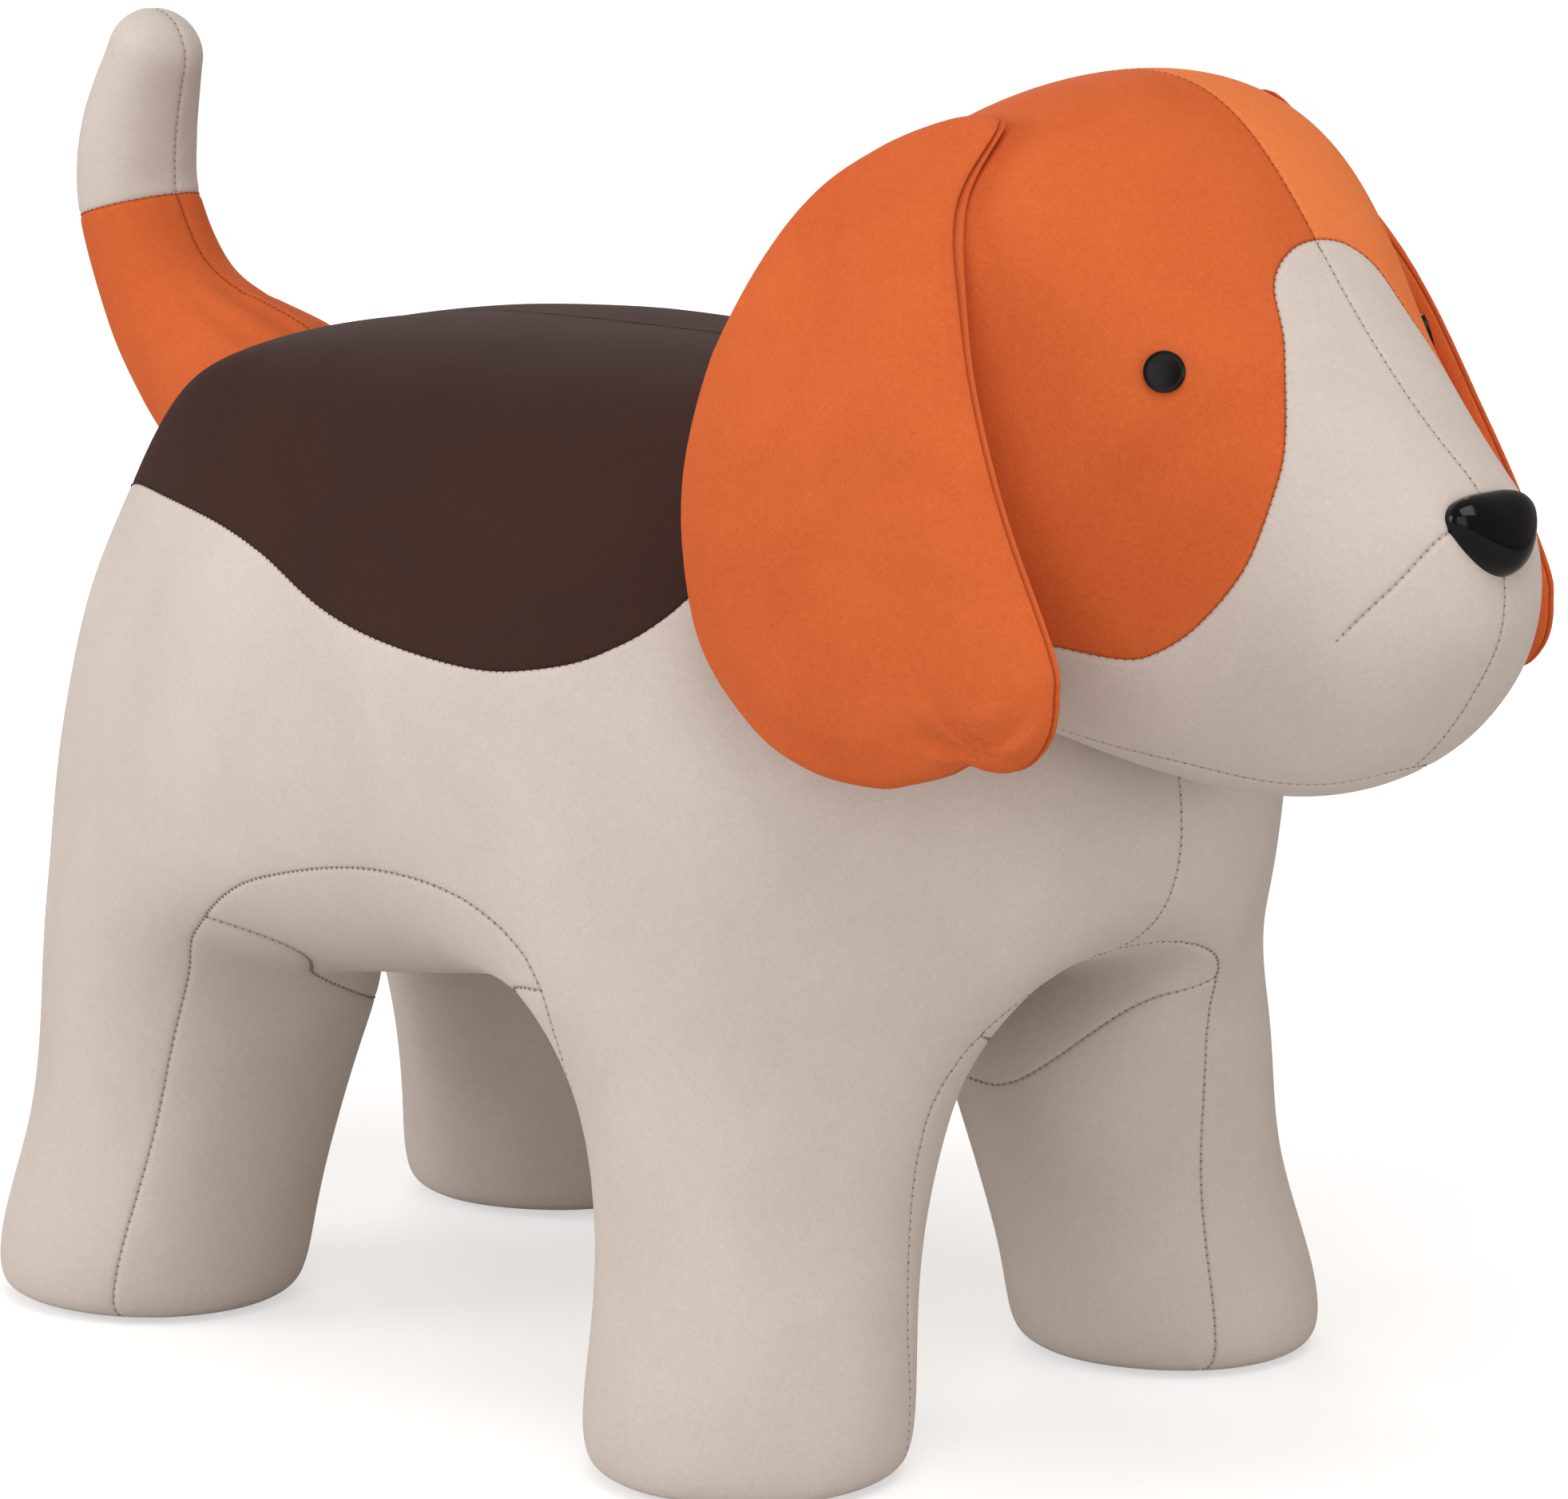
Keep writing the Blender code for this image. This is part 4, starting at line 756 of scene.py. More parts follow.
def turned_in(points, faces, normals, seam, depth=0.004):
    """Adds a strip under every open edge of a panel, going straight in."""
    directed = edges_of(faces)
    keys = directed[:, 0].astype(np.int64) * (len(points) + 1) + directed[:, 1]
    back = directed[:, 1].astype(np.int64) * (len(points) + 1) + directed[:, 0]
    rim = directed[~np.isin(keys, back)]
    ends = np.unique(rim)
    low = np.full(len(points), -1)
    low[ends] = len(points) + np.arange(len(ends))
    points = np.vstack([points, points[ends] - normals[ends] * depth])
    # The turned-in strip gets seam value 0, so it takes the full painted shade of the groove.
    seam = np.r_[seam, np.zeros(len(ends))]
    a, b = rim[:, 0], rim[:, 1]
    strip = np.vstack([np.stack([b, a, low[a]], 1), np.stack([b, low[a], low[b]], 1)])
    return points, np.vstack([faces, strip]), seam


def add_panel(name, cover, faces, material, replaced):
    """Turns one panel's faces into a padded piece of the footstool that stands for CAD nodes."""
    points, normals, seam = cover
    used = np.unique(faces)
    remap = np.full(len(points), -1)
    remap[used] = np.arange(len(used))
    points, faces, seam = turned_in(points[used], remap[faces], normals[used], seam[used])
    piece = piece_from(name, points, faces, material, {"seam": seam})
    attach(piece, "footstool")
    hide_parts(*replaced)


# %% [markdown]
# ## The body
#
# Brown saddle, cream sides, a gusset under the belly and four inner legs. The saddle's edge and the side
# arch are lines in side view, and the front arch is a line in front view. The gusset's edge is a height
# that rises from the middle outward, and once more toward the chest. One seam runs down the middle of the
# back, the chest, the rump and the belly.

# %% Body seams and panels
saddle_edge = smooth_line([
    (0.3000, 0.262), (0.2150, 0.296), (0.1801, 0.312), (0.1460, 0.319), (0.0910, 0.317), (0.0470, 0.309),
    (0.0040, 0.294), (-0.0330, 0.286), (-0.0800, 0.282), (-0.1140, 0.287), (-0.1320, 0.294), (-0.1470, 0.304),
    (-0.1600, 0.320), (-0.1750, 0.345), (-0.1900, 0.372), (-0.2050, 0.400)])
side_arch = smooth_line([
    (0.134, -0.030), (0.132, 0.005), (0.117, 0.097), (0.097, 0.147), (0.081, 0.165), (0.049, 0.185),
    (0.016, 0.196), (-0.022, 0.204), (-0.054, 0.205), (-0.080, 0.200), (-0.100, 0.189), (-0.110, 0.176),
    (-0.114, 0.156), (-0.114, 0.100), (-0.119, -0.030)])
front_half = [(0.087, -0.030), (0.084, 0.0), (0.079, 0.070), (0.077, 0.110), (0.073, 0.135), (0.064, 0.158),
              (0.052, 0.171), (0.030, 0.179), (0.0, 0.1805)]
front_arch = smooth_line(front_half + [(-x, z) for x, z in front_half[-2::-1]])
belly_widths = (0.0, 0.046, 0.091, 0.120, 0.147, 0.250)
belly_heights = (0.107, 0.114, 0.133, 0.149, 0.165, 0.220)
belly_ease = 0.006
belly_lift, lift_start, lift_end = 0.038, 0.15, 0.225
sole_height = 0.012

normals = normals_of(body_points, body_faces)
ease = grain_noise(body_points, 9.0, 1) * 0.0010 + grain_noise(body_points, 23.0, 2) * 0.0005
body_points = body_points + normals * ease[:, None]
side_view, front_view = body_points[:, 1:], body_points[:, [0, 2]]
saddle_gap, way = line_distance(side_view, saddle_edge)
saddle_d = -on_skin(saddle_gap, way, normals, (1, 2))
side_gap, way = line_distance(side_view, side_arch)
side_d = on_skin(side_gap, way, normals, (1, 2))
front_gap, way = line_distance(front_view, front_arch)
front_d = on_skin(front_gap, way, normals, (0, 2))
arch_d = np.maximum(side_d, front_d)
wide = np.abs(body_points[:, 0])
lifted = belly_lift * smoothstep(lift_start, lift_end, -body_points[:, 1])
eased = sum(np.interp(wide + step * belly_ease, belly_widths, belly_heights) for step in range(-3, 4)) / 7
belly_d = body_points[:, 2] - eased - lifted
middle_d = on_skin(body_points[:, 0], np.tile([1.0, 0.0], (len(body_points), 1)), normals, (0, 1))
seam_gap = np.minimum(np.minimum(np.abs(saddle_d), np.abs(arch_d)), np.abs(middle_d))
seam_gap = np.minimum(seam_gap, np.where(arch_d > 0, np.abs(belly_d), 1.0))
held = np.maximum(1 - smoothstep(0.004, 0.014, seam_gap), body_points[:, 2] < sole_height)
body_points = swell("body_swell", subdivided("body_coarse", body_cage(), 3), held, body_points, 3.0, 0.0025)
normals = normals_of(body_points, body_faces)
SADDLE, ARCH, MIDDLE, BELLY = range(4)
body_seams = [
    (SADDLE, 0.0004, 0.0009, None, None),
    (ARCH, 0.0006, 0.0009, None, lambda v: v[:, SADDLE] < 0),
    (BELLY, 0.0006, 0.0009, lambda v: v[:, ARCH] > 0, lambda v: v[:, ARCH] > -on_seam),
    (MIDDLE, 0.0005, 0.0008, None, None),
]
print("side", side_d.min().round(3), side_d.max().round(3), "belly", belly_d.min().round(3))
points, faces, values, normals, press, seam = sewn(
    body_points, body_faces, [saddle_d, arch_d, middle_d, belly_d], body_seams)
near_seam = np.exp(-np.abs(values[:, :3]).min(1) / 0.006)
pucker = grain_noise(points, 130.0, 3) * 0.00030 * near_seam
shown_points = points - normals * press[:, None] + normals * pucker[:, None]
cover = (shown_points, normals, seam)
skin = (shown_points, normals_of(shown_points, faces), faces, values)
at = values[faces].mean(1)
behind = points[faces].mean(1)[:, 1] > 0
on_saddle, in_arch, left, below = at[:, SADDLE] > 0, at[:, ARCH] > 0, at[:, MIDDLE] > 0, at[:, BELLY] < 0
foams = {"left": ("torso_foam",), "right": ()}
for word, side in (("left", left), ("right", ~left)):
    add_panel("saddle_" + word, cover, faces[on_saddle & side], brown,
              ("saddle_cover_" + word,) + foams[word])
    add_panel("side_" + word, cover, faces[~on_saddle & ~in_arch & side], cream,
              ("side_cover_" + word,))
add_panel("belly_gusset", cover, faces[in_arch & ~below], cream, ("belly_cover",))
for end, rear in (("front", False), ("rear", True)):
    for word, side in (("left", left), ("right", ~left)):
        leg = in_arch & below & side & (behind == rear)
        add_panel(f"inner_leg_{end}_{word}", cover, faces[leg], cream,
                  (f"inner_leg_cover_{end}_{word}", f"leg_foam_{end}_{word}"))
add_stitches("cream_thread", skin, ARCH)
add_stitches("cream_thread", skin, BELLY, values[:, ARCH] > -on_seam)
add_stitches("cream_thread", skin, MIDDLE, values[:, SADDLE] < on_seam)
add_stitches("brown_thread", skin, MIDDLE, values[:, SADDLE] > -on_seam, length=0.0010)
add_stitches("brown_thread", skin, SADDLE, length=0.0013)
body_tree = BVHTree.FromPolygons(shown_points.tolist(), faces.tolist())
print("body pieces", len(faces), "triangles")

# %% [markdown]
# ## The head
#
# The face patch is a line in side view, with a blaze that runs up the forehead. The chin gusset is a line
# seen from below. A short dart on each side draws the corner of the mouth. The crown's left half is a
# paler orange, painted light: a lit copy of the orange cloth for the half that lies in more light.

# %% Head seams and panels
patch_edge = smooth_line([
    (-0.0560, 0.370), (-0.2000, 0.335), (-0.2600, 0.312), (-0.2880, 0.307), (-0.3060, 0.304),
    (-0.3170, 0.306), (-0.3320, 0.317), (-0.3470, 0.338), (-0.3530, 0.364), (-0.3510, 0.382),
    (-0.3410, 0.407), (-0.3300, 0.426), (-0.3255, 0.436), (-0.3235, 0.4435), (-0.3215, 0.460),
    (-0.3210, 0.500)])
chin_half = [(0.0, -0.3690), (0.012, -0.3660), (0.024, -0.3540), (0.042, -0.3290), (0.056, -0.3020),
             (0.075, -0.2400)]
chin_top = 0.288
chin_edge = smooth_line([(-x, y) for x, y in chin_half[:0:-1]] + chin_half)
dart = smooth_line([
    (-0.4045, 0.372), (-0.4015, 0.3585), (-0.399, 0.350), (-0.392, 0.335), (-0.378, 0.317), (-0.366, 0.303)])
dart_back, dart_top = -0.36, 0.356
head_held = -0.16    # behind this the head is pressed against the body

normals = normals_of(head_points, head_faces)
ease = grain_noise(head_points, 11.0, 5) * 0.0007
head_points = head_points + normals * ease[:, None]
side_view, top_view = head_points[:, 1:], head_points[:, :2]
patch_gap, way = line_distance(side_view, patch_edge)
patch_d = on_skin(patch_gap, way, normals, (1, 2))
chin_gap, way = line_distance(top_view, chin_edge)
chin_d = on_skin(chin_gap, way, normals, (0, 1))
dart_gap, way = line_distance(side_view, dart)
dart_d = on_skin(dart_gap, way, normals, (1, 2))
middle_d = on_skin(head_points[:, 0], np.tile([1.0, 0.0], (len(head_points), 1)), normals, (0, 1))
seam_gap = np.minimum(np.abs(patch_d), np.abs(middle_d))
held = np.maximum(1 - smoothstep(0.003, 0.012, seam_gap), head_points[:, 1] > head_held)
head_points = swell("head_swell", subdivided("head_coarse", head_cage(), 3), held, head_points, 3.0, 0.0018)
normals = normals_of(head_points, head_faces)
height = head_points[:, 2]
PATCH, CHIN, MID, DART, HEIGHT, WIDE, FORE = range(7)


def low(v):
    """Tells which points are low enough for the chin."""
    return v[:, HEIGHT] < chin_top


def dart_fade(v):
    """Fades the dart out beside the nose and at its lower end."""
    return (smoothstep(0.010, 0.016, np.abs(v[:, WIDE])) * smoothstep(0.312, 0.322, v[:, HEIGHT])
            * (v[:, HEIGHT] < dart_top))


head_seams = [
    (PATCH, 0.0005, 0.0009, None, None),
    (CHIN, 0.0008, 0.0009, low, low),
    (MID, 0.0005, 0.0008, lambda v: (v[:, CHIN] < 0) | ~low(v), None),
    (DART, 0.0008, 0.0009, dart_fade, lambda v: (v[:, FORE] < dart_back) & (v[:, HEIGHT] > 0.300)),
]
points, faces, values, normals, press, seam = sewn(
    head_points, head_faces,
    [patch_d, chin_d, middle_d, dart_d, height, head_points[:, 0], head_points[:, 1]], head_seams)
shown_points = points - normals * press[:, None]
cover = (shown_points, normals, seam)
skin = (shown_points, normals_of(shown_points, faces), faces, values)
at = values[faces].mean(1)
on_face, under, left = at[:, PATCH] > 0, (at[:, CHIN] > 0) & low(at), at[:, MID] > 0
# The left crown half takes the lit copy of the orange cloth, which is painted light.
for word, side, tone in (("left", left, orange_painted_lit), ("right", ~left, orange)):
    add_panel("crown_" + word, cover, faces[~on_face & ~under & side], tone,
              ("head_cover_" + word,))
    add_panel("muzzle_" + word, cover, faces[on_face & ~under & side], cream,
              ("muzzle_cover_" + word,) + (("head_stuffing",) if word == "left" else ()))
add_panel("chin_gusset", cover, faces[under], cream, ("chin_cover",))
above_chin = (values[:, CHIN] < 0) | ~low(values)
dart_part = (np.abs(values[:, WIDE]) > 0.012) & (values[:, HEIGHT] > 0.314) & (values[:, HEIGHT] < dart_top)
add_stitches("orange_thread", skin, PATCH, length=0.0012)
add_stitches("orange_thread", skin, MID, values[:, PATCH] < on_seam, length=0.0010)
add_stitches("cream_thread", skin, MID, (values[:, PATCH] > -on_seam) & above_chin, length=0.0011)
add_stitches("cream_thread", skin, CHIN, low(values))
add_stitches("cream_thread", skin, DART, dart_part & (values[:, FORE] < dart_back), length=0.0018)
head_tree = BVHTree.FromPolygons(shown_points.tolist(), faces.tolist())
print("head pieces", len(faces), "triangles")

# %% [markdown]
# ## The tail
#
# A stuffed tube that bends up, with a round tip. A band seam slants across it, where orange turns to cream.
# Where the tube is sewn to the back, its front side is gathered into small pleats, which are folds that run
# along the tail and fade out in two centimetres.

# %% Tail form, seams and panels
def lofted(rings):
    """Joins rings of points into triangles and closes the last one with a point."""
    count, size = len(rings), len(rings[0])
    points = np.vstack(list(rings) + [rings[-1].mean(0)[None]])
    faces = []
    around = np.arange(size)
    onward = (around + 1) % size
    for k in range(count - 1):
        a, b = k * size, (k + 1) * size
        faces += [np.stack([a + around, a + onward, b + onward], 1),
                  np.stack([a + around, b + onward, b + around], 1)]
    faces.append(np.stack([(count - 1) * size + around, (count - 1) * size + onward,
                           np.full(size, count * size)], 1))
    return points, np.vstack(faces)


tail_line = smooth_line([
    (0.1600, 0.312, 0.0360), (0.1850, 0.3180, 0.0385), (0.2080, 0.3270, 0.0410), (0.2450, 0.3470, 0.0335),
    (0.2710, 0.3705, 0.02725), (0.2885, 0.4050, 0.0245), (0.2880, 0.4350, 0.0232), (0.2775, 0.4655, 0.0192)],
    step=0.0022)
run = np.gradient(tail_line[:, :2], axis=0)
run = run / np.linalg.norm(run, axis=1)[:, None]
cap = np.linspace(0, math.pi / 2, 12)[1:-1]
last_place, last_run, last_radius = tail_line[-1, :2], run[-1], tail_line[-1, 2]
cap_line = [np.r_[last_place + last_run * last_radius * math.sin(a), last_radius * math.cos(a)] for a in cap]
tail_line = np.vstack([tail_line, cap_line])
run = np.vstack([run, np.tile(last_run, (len(cap), 1))])
angles = np.linspace(0, 2 * math.pi, 72, endpoint=False)
pleats, pleat_depth, pleat_end, pleat_fade = 16, 0.0016, 0.238, 0.012
rings = []
for (y, z, radius), (run_y, run_z) in zip(tail_line, run):
    gather = math.exp(-max(0.0, y - pleat_end) / pleat_fade) if z < 0.40 else 0.0
    front = np.clip(np.sin(angles), 0, 1) ** 2
    fold = gather * front * pleat_depth * np.cos(angles * pleats + 0.6)
    wide = radius + fold
    rings.append(np.stack([np.cos(angles) * wide, y - np.sin(angles) * run_z * wide,
                           z + np.sin(angles) * run_y * wide], 1))
tail_points, tail_faces = lofted(rings)
normals = normals_of(tail_points, tail_faces)
if ((tail_points - tail_points.mean(0)) * normals).sum() < 0:
    tail_faces, normals = tail_faces[:, ::-1], -normals
tail_points = tail_points + normals * (grain_noise(tail_points, 32.0, 8) * 0.0005)[:, None]
band_y, band_z, slope = 0.2885, 0.405, 0.27
band_d = (tail_points[:, 2] - band_z + (tail_points[:, 1] - band_y) * slope) / math.sqrt(1 + slope ** 2)
middle_d = on_skin(tail_points[:, 0], np.tile([1.0, 0.0], (len(tail_points), 1)), normals, (0, 1))
BAND, MIDLINE = range(2)
points, faces, values, normals, press, seam = sewn(
    tail_points, tail_faces, [band_d, middle_d],
    [(BAND, 0.0008, 0.0012, None, None), (MIDLINE, 0.0008, 0.0012, None, None)])
ripple = grain_noise(points, 160.0, 9) * 0.0003 * np.exp(-np.abs(values[:, MIDLINE]) / 0.004)
shown_points = points - normals * press[:, None] + normals * ripple[:, None]
cover = (shown_points, normals, seam)
skin = (shown_points, normals_of(shown_points, faces), faces, values)


def depth_in(tree, places):
    """Tells how far each place is inside a closed skin; outside counts as below zero."""
    result = np.empty(len(places))
    for index, place in enumerate(places):
        near, out, _, gap = tree.find_nearest(Vector(place))
        result[index] = gap if (near - Vector(place)).dot(out) > 0 else -gap
    return result


depth = depth_in(body_tree, shown_points)
kept = ~(depth > 0.006)[faces].all(1)
outside = depth < 0
on_tip = values[faces].mean(1)[:, BAND] > 0
add_panel("tail_root", cover, faces[kept & ~on_tip], orange,
          ("tail_cover_root", "tail_stuffing"))
add_panel("tail_tip", cover, faces[kept & on_tip], cream, ("tail_cover_tip",))
add_stitches("orange_thread", skin, BAND, outside, length=0.0012)
add_stitches("cream_thread", skin, MIDLINE, outside & (values[:, BAND] > -on_seam), length=0.0012)
add_stitches("orange_thread", skin, MIDLINE, outside & (values[:, BAND] < on_seam), length=0.0010)
print("tail", int(kept.sum()), "triangles")

# %% [markdown]
# ## The ears
#
# An ear is a flat pillow that hangs from its root and curves round the cheek. Two covers meet in a seam
# round the rim, so from the front the edge shows as a narrow strip beside a dark line, the sunk seam with
# painted shade in it. The tip is gathered, with wrinkles that run in from the rim. Each ear rides on its own
# body, so it lifts with its joint.

# %% Ears
ear_outline = smooth_line([
    (-0.2465, 0.477), (-0.2505, 0.452), (-0.270, 0.418), (-0.294, 0.369), (-0.3225, 0.316), (-0.3260, 0.300),
    (-0.3240, 0.287), (-0.3170, 0.2778), (-0.3090, 0.2738), (-0.3000, 0.2732), (-0.2925, 0.2742),
    (-0.2840, 0.2697), (-0.2700, 0.2650), (-0.255, 0.262), (-0.228, 0.2645), (-0.203, 0.277),
    (-0.179, 0.307), (-0.169, 0.357), (-0.175, 0.408), (-0.187, 0.449), (-0.203, 0.468), (-0.223, 0.478),
    (-0.238, 0.480)], step=0.0030, closed=True)
ear_middle = np.array([-0.232, 0.352])
ear_half = 0.0113
rim_edge = ((0.0026, 0.0), (0.0012, 0.0007), (0.0004, 0.0016), (0.0, 0.0028), (0.0004, 0.0042),
            (0.0013, 0.0056))
ear_clear, ear_reach = 0.0009, 0.02
sheet_heights = (0.26, 0.30, 0.35, 0.39, 0.42, 0.45, 0.47, 0.485, 0.52)
sheet_places = (0.131, 0.131, 0.127, 0.119, 0.110, 0.094, 0.078, 0.060, 0.020)


def ear_sheet(y, z):
    """Gives how far out the middle of an ear's thickness lies."""
    lean = np.interp(z, [0.40, 0.48], [1.0, 0.3])
    shifts = (-0.012, -0.006, 0, 0.006, 0.012)
    smooth = sum(np.interp(z + shift, sheet_heights, sheet_places) for shift in shifts) / 5
    return smooth + 0.12 * (y + 0.33) * lean


def ear_rings(rim_out):
    """Draws the two faces of an ear as rings, from the sunk seam over the round edge to the middle."""
    full = 0.55 + 0.45 * smoothstep(0.40, 0.46, ear_outline[:, 1])
    rows = [(ear_outline - rim_out * inset, side * full, 0.0) for inset, side in rim_edge]
    inner_edge = ear_outline - rim_out * 0.0026
    tip = np.array([-0.302, 0.277])
    for share in np.linspace(0.0, 0.95, 30):
        flat = inner_edge + (ear_middle - inner_edge) * share ** 1.15
        inward = np.linalg.norm(flat[:, None] - ear_outline[None], axis=2).min(1)
        start = 0.0067 * full
        swell = start + (ear_half - start) * smoothstep(-0.010, 0.019, inward - 0.0026) ** 1.5
        reach = np.linalg.norm(flat - tip, axis=1)
        angle = np.arctan2(flat[:, 1] - tip[1], flat[:, 0] - tip[0])
        wrinkle = np.exp(-((reach - 0.010) / 0.016) ** 2) * 0.0013 * np.cos(angle * 9.0 + 0.7)
        rows.append((flat, swell, wrinkle * min(1.0, share * 25 + 0.3)))
    outer, inner = [], []
    for flat, side, wrinkle in rows:
        neck = 1 - 0.35 * smoothstep(0.440, 0.478, flat[:, 1])
        place = ear_sheet(flat[:, 0], flat[:, 1])
        for made, way in ((outer, 1), (inner, -1)):
            made.append(np.stack([place + way * (side * neck + wrinkle), flat[:, 0], flat[:, 1]], 1))
    return outer, inner


rim_run = np.roll(ear_outline, -1, axis=0) - np.roll(ear_outline, 1, axis=0)
rim_out = np.stack([rim_run[:, 1], -rim_run[:, 0]], 1) / np.linalg.norm(rim_run, axis=1)[:, None]
if ((ear_outline - ear_middle) * rim_out).sum() < 0:
    rim_out = -rim_out
ear_outer, ear_inner = ear_rings(rim_out)
for word, sign in (("left", 1), ("right", -1)):
    for face_word, rings in (("outer", ear_outer), ("inner", ear_inner)):
        points, faces = lofted(rings)
        points = points * np.array([sign, 1, 1])
        normals = normals_of(points, faces)
        out = sign * (1 if face_word == "outer" else -1)
        if (normals[:, 0] * out).sum() < 0:
            faces = faces[:, ::-1]
            normals = -normals
        if face_word == "outer":
            coarse, coarse_faces = lofted([ring[::3] for ring in rings[::2]])
            coarse = coarse * np.array([sign, 1, 1])
            if (normals_of(coarse, coarse_faces)[:, 0] * out).sum() < 0:
                coarse_faces = coarse_faces[:, ::-1]
            held = (np.arange(len(points)) < len(ear_outline) * len(rim_edge)).astype(float)
            points = swell("ear_swell_" + word, (coarse, coarse_faces), held, points, 4.0, 0.0025)
            normals = normals_of(points, faces)
        flow = grain_noise(points, 38.0, 11 + (sign > 0)) * 0.0006
        rim = np.minimum(np.linalg.norm(points[:, None, 1:] - ear_outline[None, ::2], axis=2).min(1), 0.02)
        points = points + normals * (flow * smoothstep(0.003, 0.012, rim))[:, None]
        for tree in (head_tree, body_tree):
            for index, place in enumerate(points):
                near, away, _, gap = tree.find_nearest(Vector(place))
                clear = (Vector(place) - near).dot(away)
                if clear < ear_clear and gap < ear_reach:
                    points[index] += np.array(away) * (ear_clear - clear)
        row = np.arange(len(points)) // len(ear_outline)
        # painted shade: the rows at the rim seam get low seam values, which darken the cloth there
        seam = np.interp(row, [0, 1, 2, 3], [0.0, 0.45, 0.85, 1.0])
        padding = (f"ear_padding_{word}",) if face_word == "outer" else ()
        replaced = (f"ear_{face_word}_cover_{word}",) + padding
        piece = piece_from(f"ear_{face_word}_{word}", points, faces, orange, {"seam": seam})
        even = bmesh.new()
        even.from_mesh(piece.data)
        middle = Vector((0, ear_middle[0] + middle_y, ear_middle[1]))
        close = [v for v in even.verts if math.hypot(v.co.y - middle.y, v.co.z - middle.z) < 0.022]
        bmesh.ops.remove_doubles(even, verts=close, dist=0.0009)
        even.to_mesh(piece.data)
        even.free()
        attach(piece, "ear_" + word)
        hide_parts(*replaced)
print("ears", len(ear_outline), "points round the rim")

# %% [markdown]
# ## Nose and eyes
#
# The nose is one moulded drop, wide at the top, pressed into the muzzle so that the cloth meets its rim.
# The eyes are flat black buttons with a thin raised rim, which catches one line of light.

# %% Nose and eyes
def turned(place, out, up, outline, heights, material, name, replaced):
    """Makes a solid with rings of one outline at several shares and heights, facing a way."""
    side = up.cross(out).normalized()
    up = out.cross(side).normalized()
    rings = []
    for share, height in heights:
        rings.append(np.array(
            [place + side * (u * share) + up * (v * share) + out * height for u, v in outline]))
    points, faces = lofted(rings)
    size = len(outline)
    back = np.stack([np.arange(size), (np.arange(size) + 1) % size, np.full(size, len(points))], 1)
    points = np.vstack([points, rings[0].mean(0)[None]])
    faces = np.vstack([faces, back[:, ::-1]])
    way = np.cross(points[faces[:, 1]] - points[faces[:, 0]], points[faces[:, 2]] - points[faces[:, 0]])
    if ((points[faces].mean(1) - points.mean(0)) * way).sum() < 0:
        faces = faces[:, ::-1]
    piece = piece_from(name, points, faces, material)
    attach(piece, "footstool")
    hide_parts(*replaced)


nose_half = [(0.0, -0.50), (0.14, -0.455), (0.27, -0.34), (0.40, -0.13), (0.485, 0.10), (0.495, 0.28),
             (0.41, 0.42), (0.25, 0.485), (0.0, 0.50)]
nose_width, nose_height, nose_rise, nose_sink = 0.041, 0.029, 0.0105, 0.0010
nose_outline = smooth_line([(u * nose_width, v * nose_height) for u, v in
                            nose_half + [(-u, v) for u, v in nose_half[-2:0:-1]]], step=0.0009, closed=True)
tilt = math.radians(24)
nose_out = Vector((0, -math.cos(tilt), math.sin(tilt)))
nose_place = Vector((0, -0.4035, 0.3485))
hit = head_tree.ray_cast(nose_place + nose_out * 0.05, -nose_out)[0]
round_rise = [(math.cos(a) ** 0.85, nose_rise * math.sin(a) ** 0.9 - nose_sink)
              for a in np.linspace(0, math.pi / 2, 26)[:-1]]
nose_heights = [(0.90, -0.0080), (0.955, -0.0060), (0.99, -0.0035)] + round_rise
turned(hit, nose_out, Vector((0, 0, 1)), nose_outline, nose_heights, nose_plastic, "nose_drop",
       ("nose",))
eye_radius = 0.0071
eye_outline = [(math.cos(a) * eye_radius, math.sin(a) * eye_radius)
               for a in np.linspace(0, 2 * math.pi, 72, endpoint=False)]
eye_heights = [(0.86, -0.0030), (0.96, -0.0016), (0.985, 0.0004), (0.995, 0.0010), (0.988, 0.0015),
               (0.960, 0.0018), (0.925, 0.0017), (0.895, 0.0013), (0.860, 0.0012), (0.70, 0.00145),
               (0.45, 0.0017), (0.2, 0.0018)]
for word, sign in (("left", 1), ("right", -1)):
    spot, out, _, _ = head_tree.ray_cast(Vector((sign * 0.2, -0.3165, 0.4005)), Vector((-sign, 0, 0)))
    turned(spot, out, Vector((0, 0, 1)), eye_outline, eye_heights, eye_plastic, "eye_button_" + word,
           ("eye_" + word,))
print("nose at", [round(v, 4) for v in hit])

# %% [markdown]
# ## Threads
#
# Each stitch is a short raised bar across its seam, thick in its middle and pointed at both ends, where it
# dives into the cloth. All stitches of one thread are one piece.

# %% Stitches as pieces
thread_kinds = {"cream_thread": (cream_thread, "cream_cloth"), "brown_thread": (brown_thread, "brown_cloth"),
                "orange_thread": (orange_thread, "orange_cloth")}
wide, high, sunk = 0.00030, 0.00045, 0.0003
for kind, stitches in stitch_sets.items():
    material, slot = thread_kinds[kind]
    spots, bars, ways, ups = (np.array(part, float) for part in zip(*stitches))
    corners = [spots - bars - ups * sunk, spots + bars - ups * sunk, spots + ups * high,
               spots + ways * wide, spots - ways * wide]
    points = np.stack(corners, 1).reshape(-1, 3)
    shape = np.array([[0, 2, 3], [0, 4, 2], [0, 3, 4], [1, 3, 2], [1, 2, 4], [1, 4, 3]])
    faces = (np.arange(len(spots))[:, None, None] * 5 + shape[None]).reshape(-1, 3)
    piece = piece_from("stitches_" + kind, points, faces, material)
    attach(piece, "footstool")
    print(kind, len(spots), "stitches")

# %% [markdown]
# ## Inside and under the stool
#
# The frame, bolts, plates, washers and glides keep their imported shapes, since they are plain cut and turned
# parts. They get sawn wood, plywood, plated steel and moulded plastic.

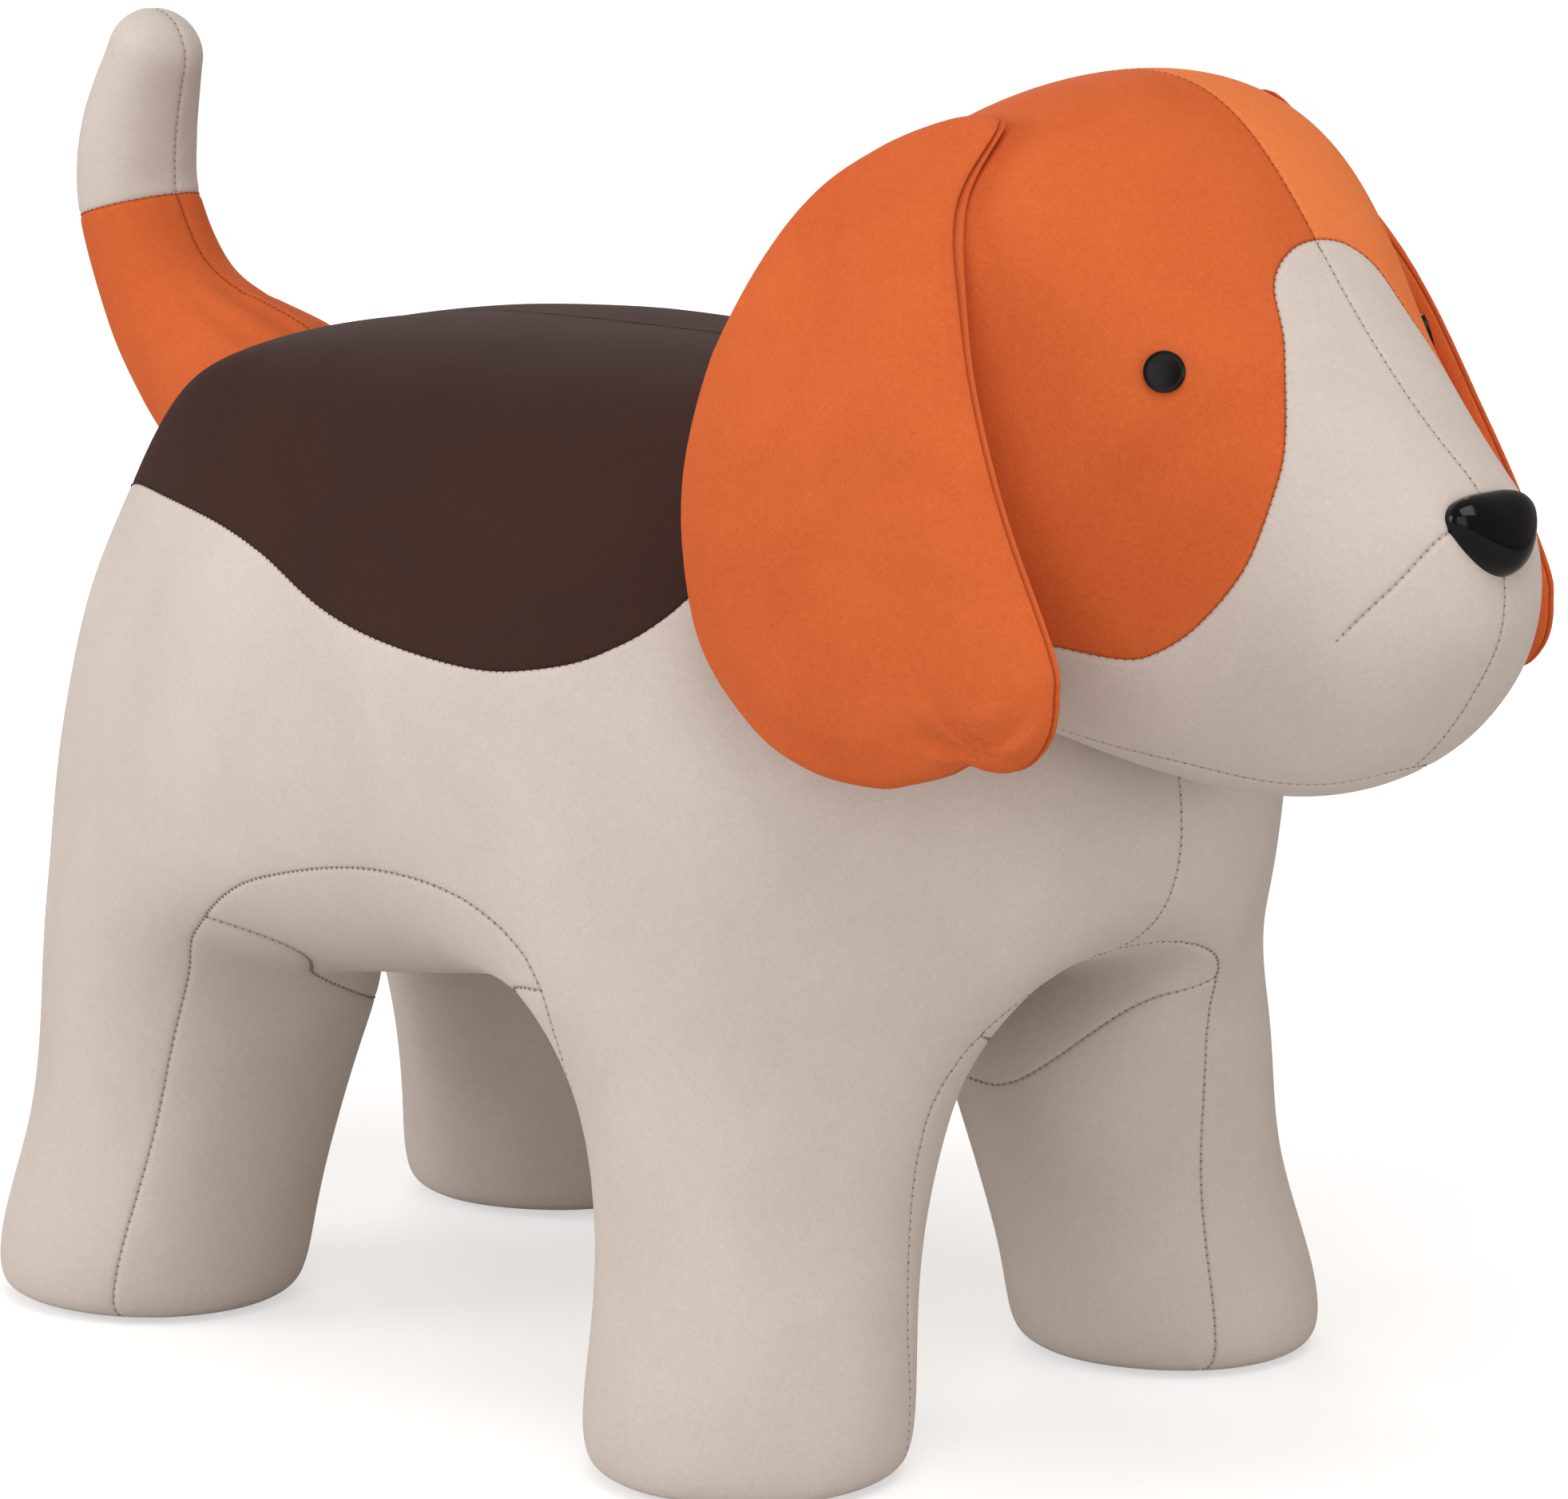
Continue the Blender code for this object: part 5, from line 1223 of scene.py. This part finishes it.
# %% Finishes of the frame
finish_words = (("rail", pine), ("leg_post", pine), ("board", plywood), ("bolt", steel), ("plate", steel),
                ("rod", steel), ("washer", washer_plastic), ("glide", glide_plastic))
finished = 0
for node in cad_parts:
    name = node if isinstance(node, str) else node.name
    shape = bpy.data.objects.get(name)
    for word, material in finish_words:
        if shape is not None and shape.type == "MESH" and word in name and "cover" not in name:
            shape.data.materials.clear()
            shape.data.materials.append(material)
            finished += 1
            break
print("finished", finished, "frame pieces")

# %% [markdown]
# ## Light and camera
#
# A white room: a pale floor that glows for the camera only, more so far from the stool, and white
# surroundings. One broad soft lamp hangs above and in front, and four fills at the sides, in front and
# behind keep the shadows soft. The low fill in front is hidden from reflections, so the nose stays black.
# The camera has a long lens and stands a little above the back, turned to the puppy's right cheek.

# %% Floor, light and camera
floor_mesh = bpy.data.meshes.new("floor")
reach = 40.0
floor_mesh.from_pydata([(-reach, -reach, 0), (reach, -reach, 0), (reach, reach, 0), (-reach, reach, 0)], [],
                       [(0, 1, 2, 3)])
floor = bpy.data.objects.new("floor", floor_mesh)
bpy.context.scene.collection.objects.link(floor)
paper, tree, shader = principled("floor_paper", 0.9, (0.62, 0.61, 0.60, 1.0))
shader.inputs["Specular IOR Level"].default_value = 0.1
seen_ray = tree.nodes.new("ShaderNodeLightPath")
spot_here = tree.nodes.new("ShaderNodeTexCoord")
away_here = add_node(tree, "ShaderNodeVectorMath", operation="LENGTH")
glow_here = add_node(tree, "ShaderNodeMapRange", interpolation_type="SMOOTHSTEP")
for name, value in (("From Min", 0.3), ("From Max", 2.2), ("To Min", 0.56), ("To Max", 0.90)):
    glow_here.inputs[name].default_value = value
lift = add_node(tree, "ShaderNodeMath", operation="MULTIPLY")
tree.links.new(spot_here.outputs["Object"], away_here.inputs[0])
tree.links.new(away_here.outputs["Value"], glow_here.inputs["Value"])
tree.links.new(glow_here.outputs["Result"], lift.inputs[1])
tree.links.new(seen_ray.outputs["Is Camera Ray"], lift.inputs[0])
tree.links.new(lift.outputs[0], shader.inputs["Emission Strength"])
shader.inputs["Emission Color"].default_value = (1.0, 1.0, 1.0, 1.0)
floor_mesh.materials.append(paper)

world = bpy.data.worlds.new("white_room")
bpy.context.scene.world = world
world.use_nodes = True
tree = world.node_tree
tree.nodes.clear()
seen_ray = tree.nodes.new("ShaderNodeLightPath")
room = add_node(tree, "ShaderNodeMix", data_type="RGBA")
room.inputs[6].default_value = (0.29, 0.265, 0.245, 1.0)
room.inputs[7].default_value = (1.0, 1.0, 1.0, 1.0)
glow = tree.nodes.new("ShaderNodeBackground")
surround = tree.nodes.new("ShaderNodeOutputWorld")
tree.links.new(seen_ray.outputs["Is Camera Ray"], room.inputs[0])
tree.links.new(room.outputs[2], glow.inputs["Color"])
tree.links.new(glow.outputs[0], surround.inputs["Surface"])


def soft_lamp(name, place, target, size, power):
    """Hangs a square area lamp that faces a point."""
    lamp = bpy.data.lights.new(name, "AREA")
    lamp.size, lamp.energy = size, power
    holder = bpy.data.objects.new(name, lamp)
    holder.location = place
    holder.rotation_euler = (Vector(target) - Vector(place)).to_track_quat("-Z", "Y").to_euler()
    bpy.context.scene.collection.objects.link(holder)
    return holder


heart = (0, 0, 0.25)
key = soft_lamp("key", (-0.5, -1.0, 2.6), heart, 1.8, 33.0)
fill = soft_lamp("fill", (-2.4, -1.3, 1.1), heart, 2.0, 20.0)
side_fill = soft_lamp("side_fill", (-2.2, 1.8, 1.0), heart, 1.6, 38.0)
front_fill = soft_lamp("front_fill", (0.2, -2.8, 0.35), (0, 0, 0.2), 1.6, 22.0)
front_fill.visible_glossy = False
back_fill = soft_lamp("back_fill", (1.8, 2.4, 1.4), heart, 1.6, 24.0)
lens = bpy.data.cameras.new("camera")
lens.lens, lens.sensor_width = 146.7, 36.0
camera = bpy.data.objects.new("camera", lens)
camera.location = (-1.6576, -1.6917 + middle_y, 0.6838)
aim = Vector((0, -0.0741 + middle_y, 0.2307)) - camera.location
camera.rotation_euler = aim.to_track_quat("-Z", "Y").to_euler()
bpy.context.scene.collection.objects.link(camera)
bpy.context.scene.camera = camera
bpy.context.scene.view_settings.view_transform = "Standard"
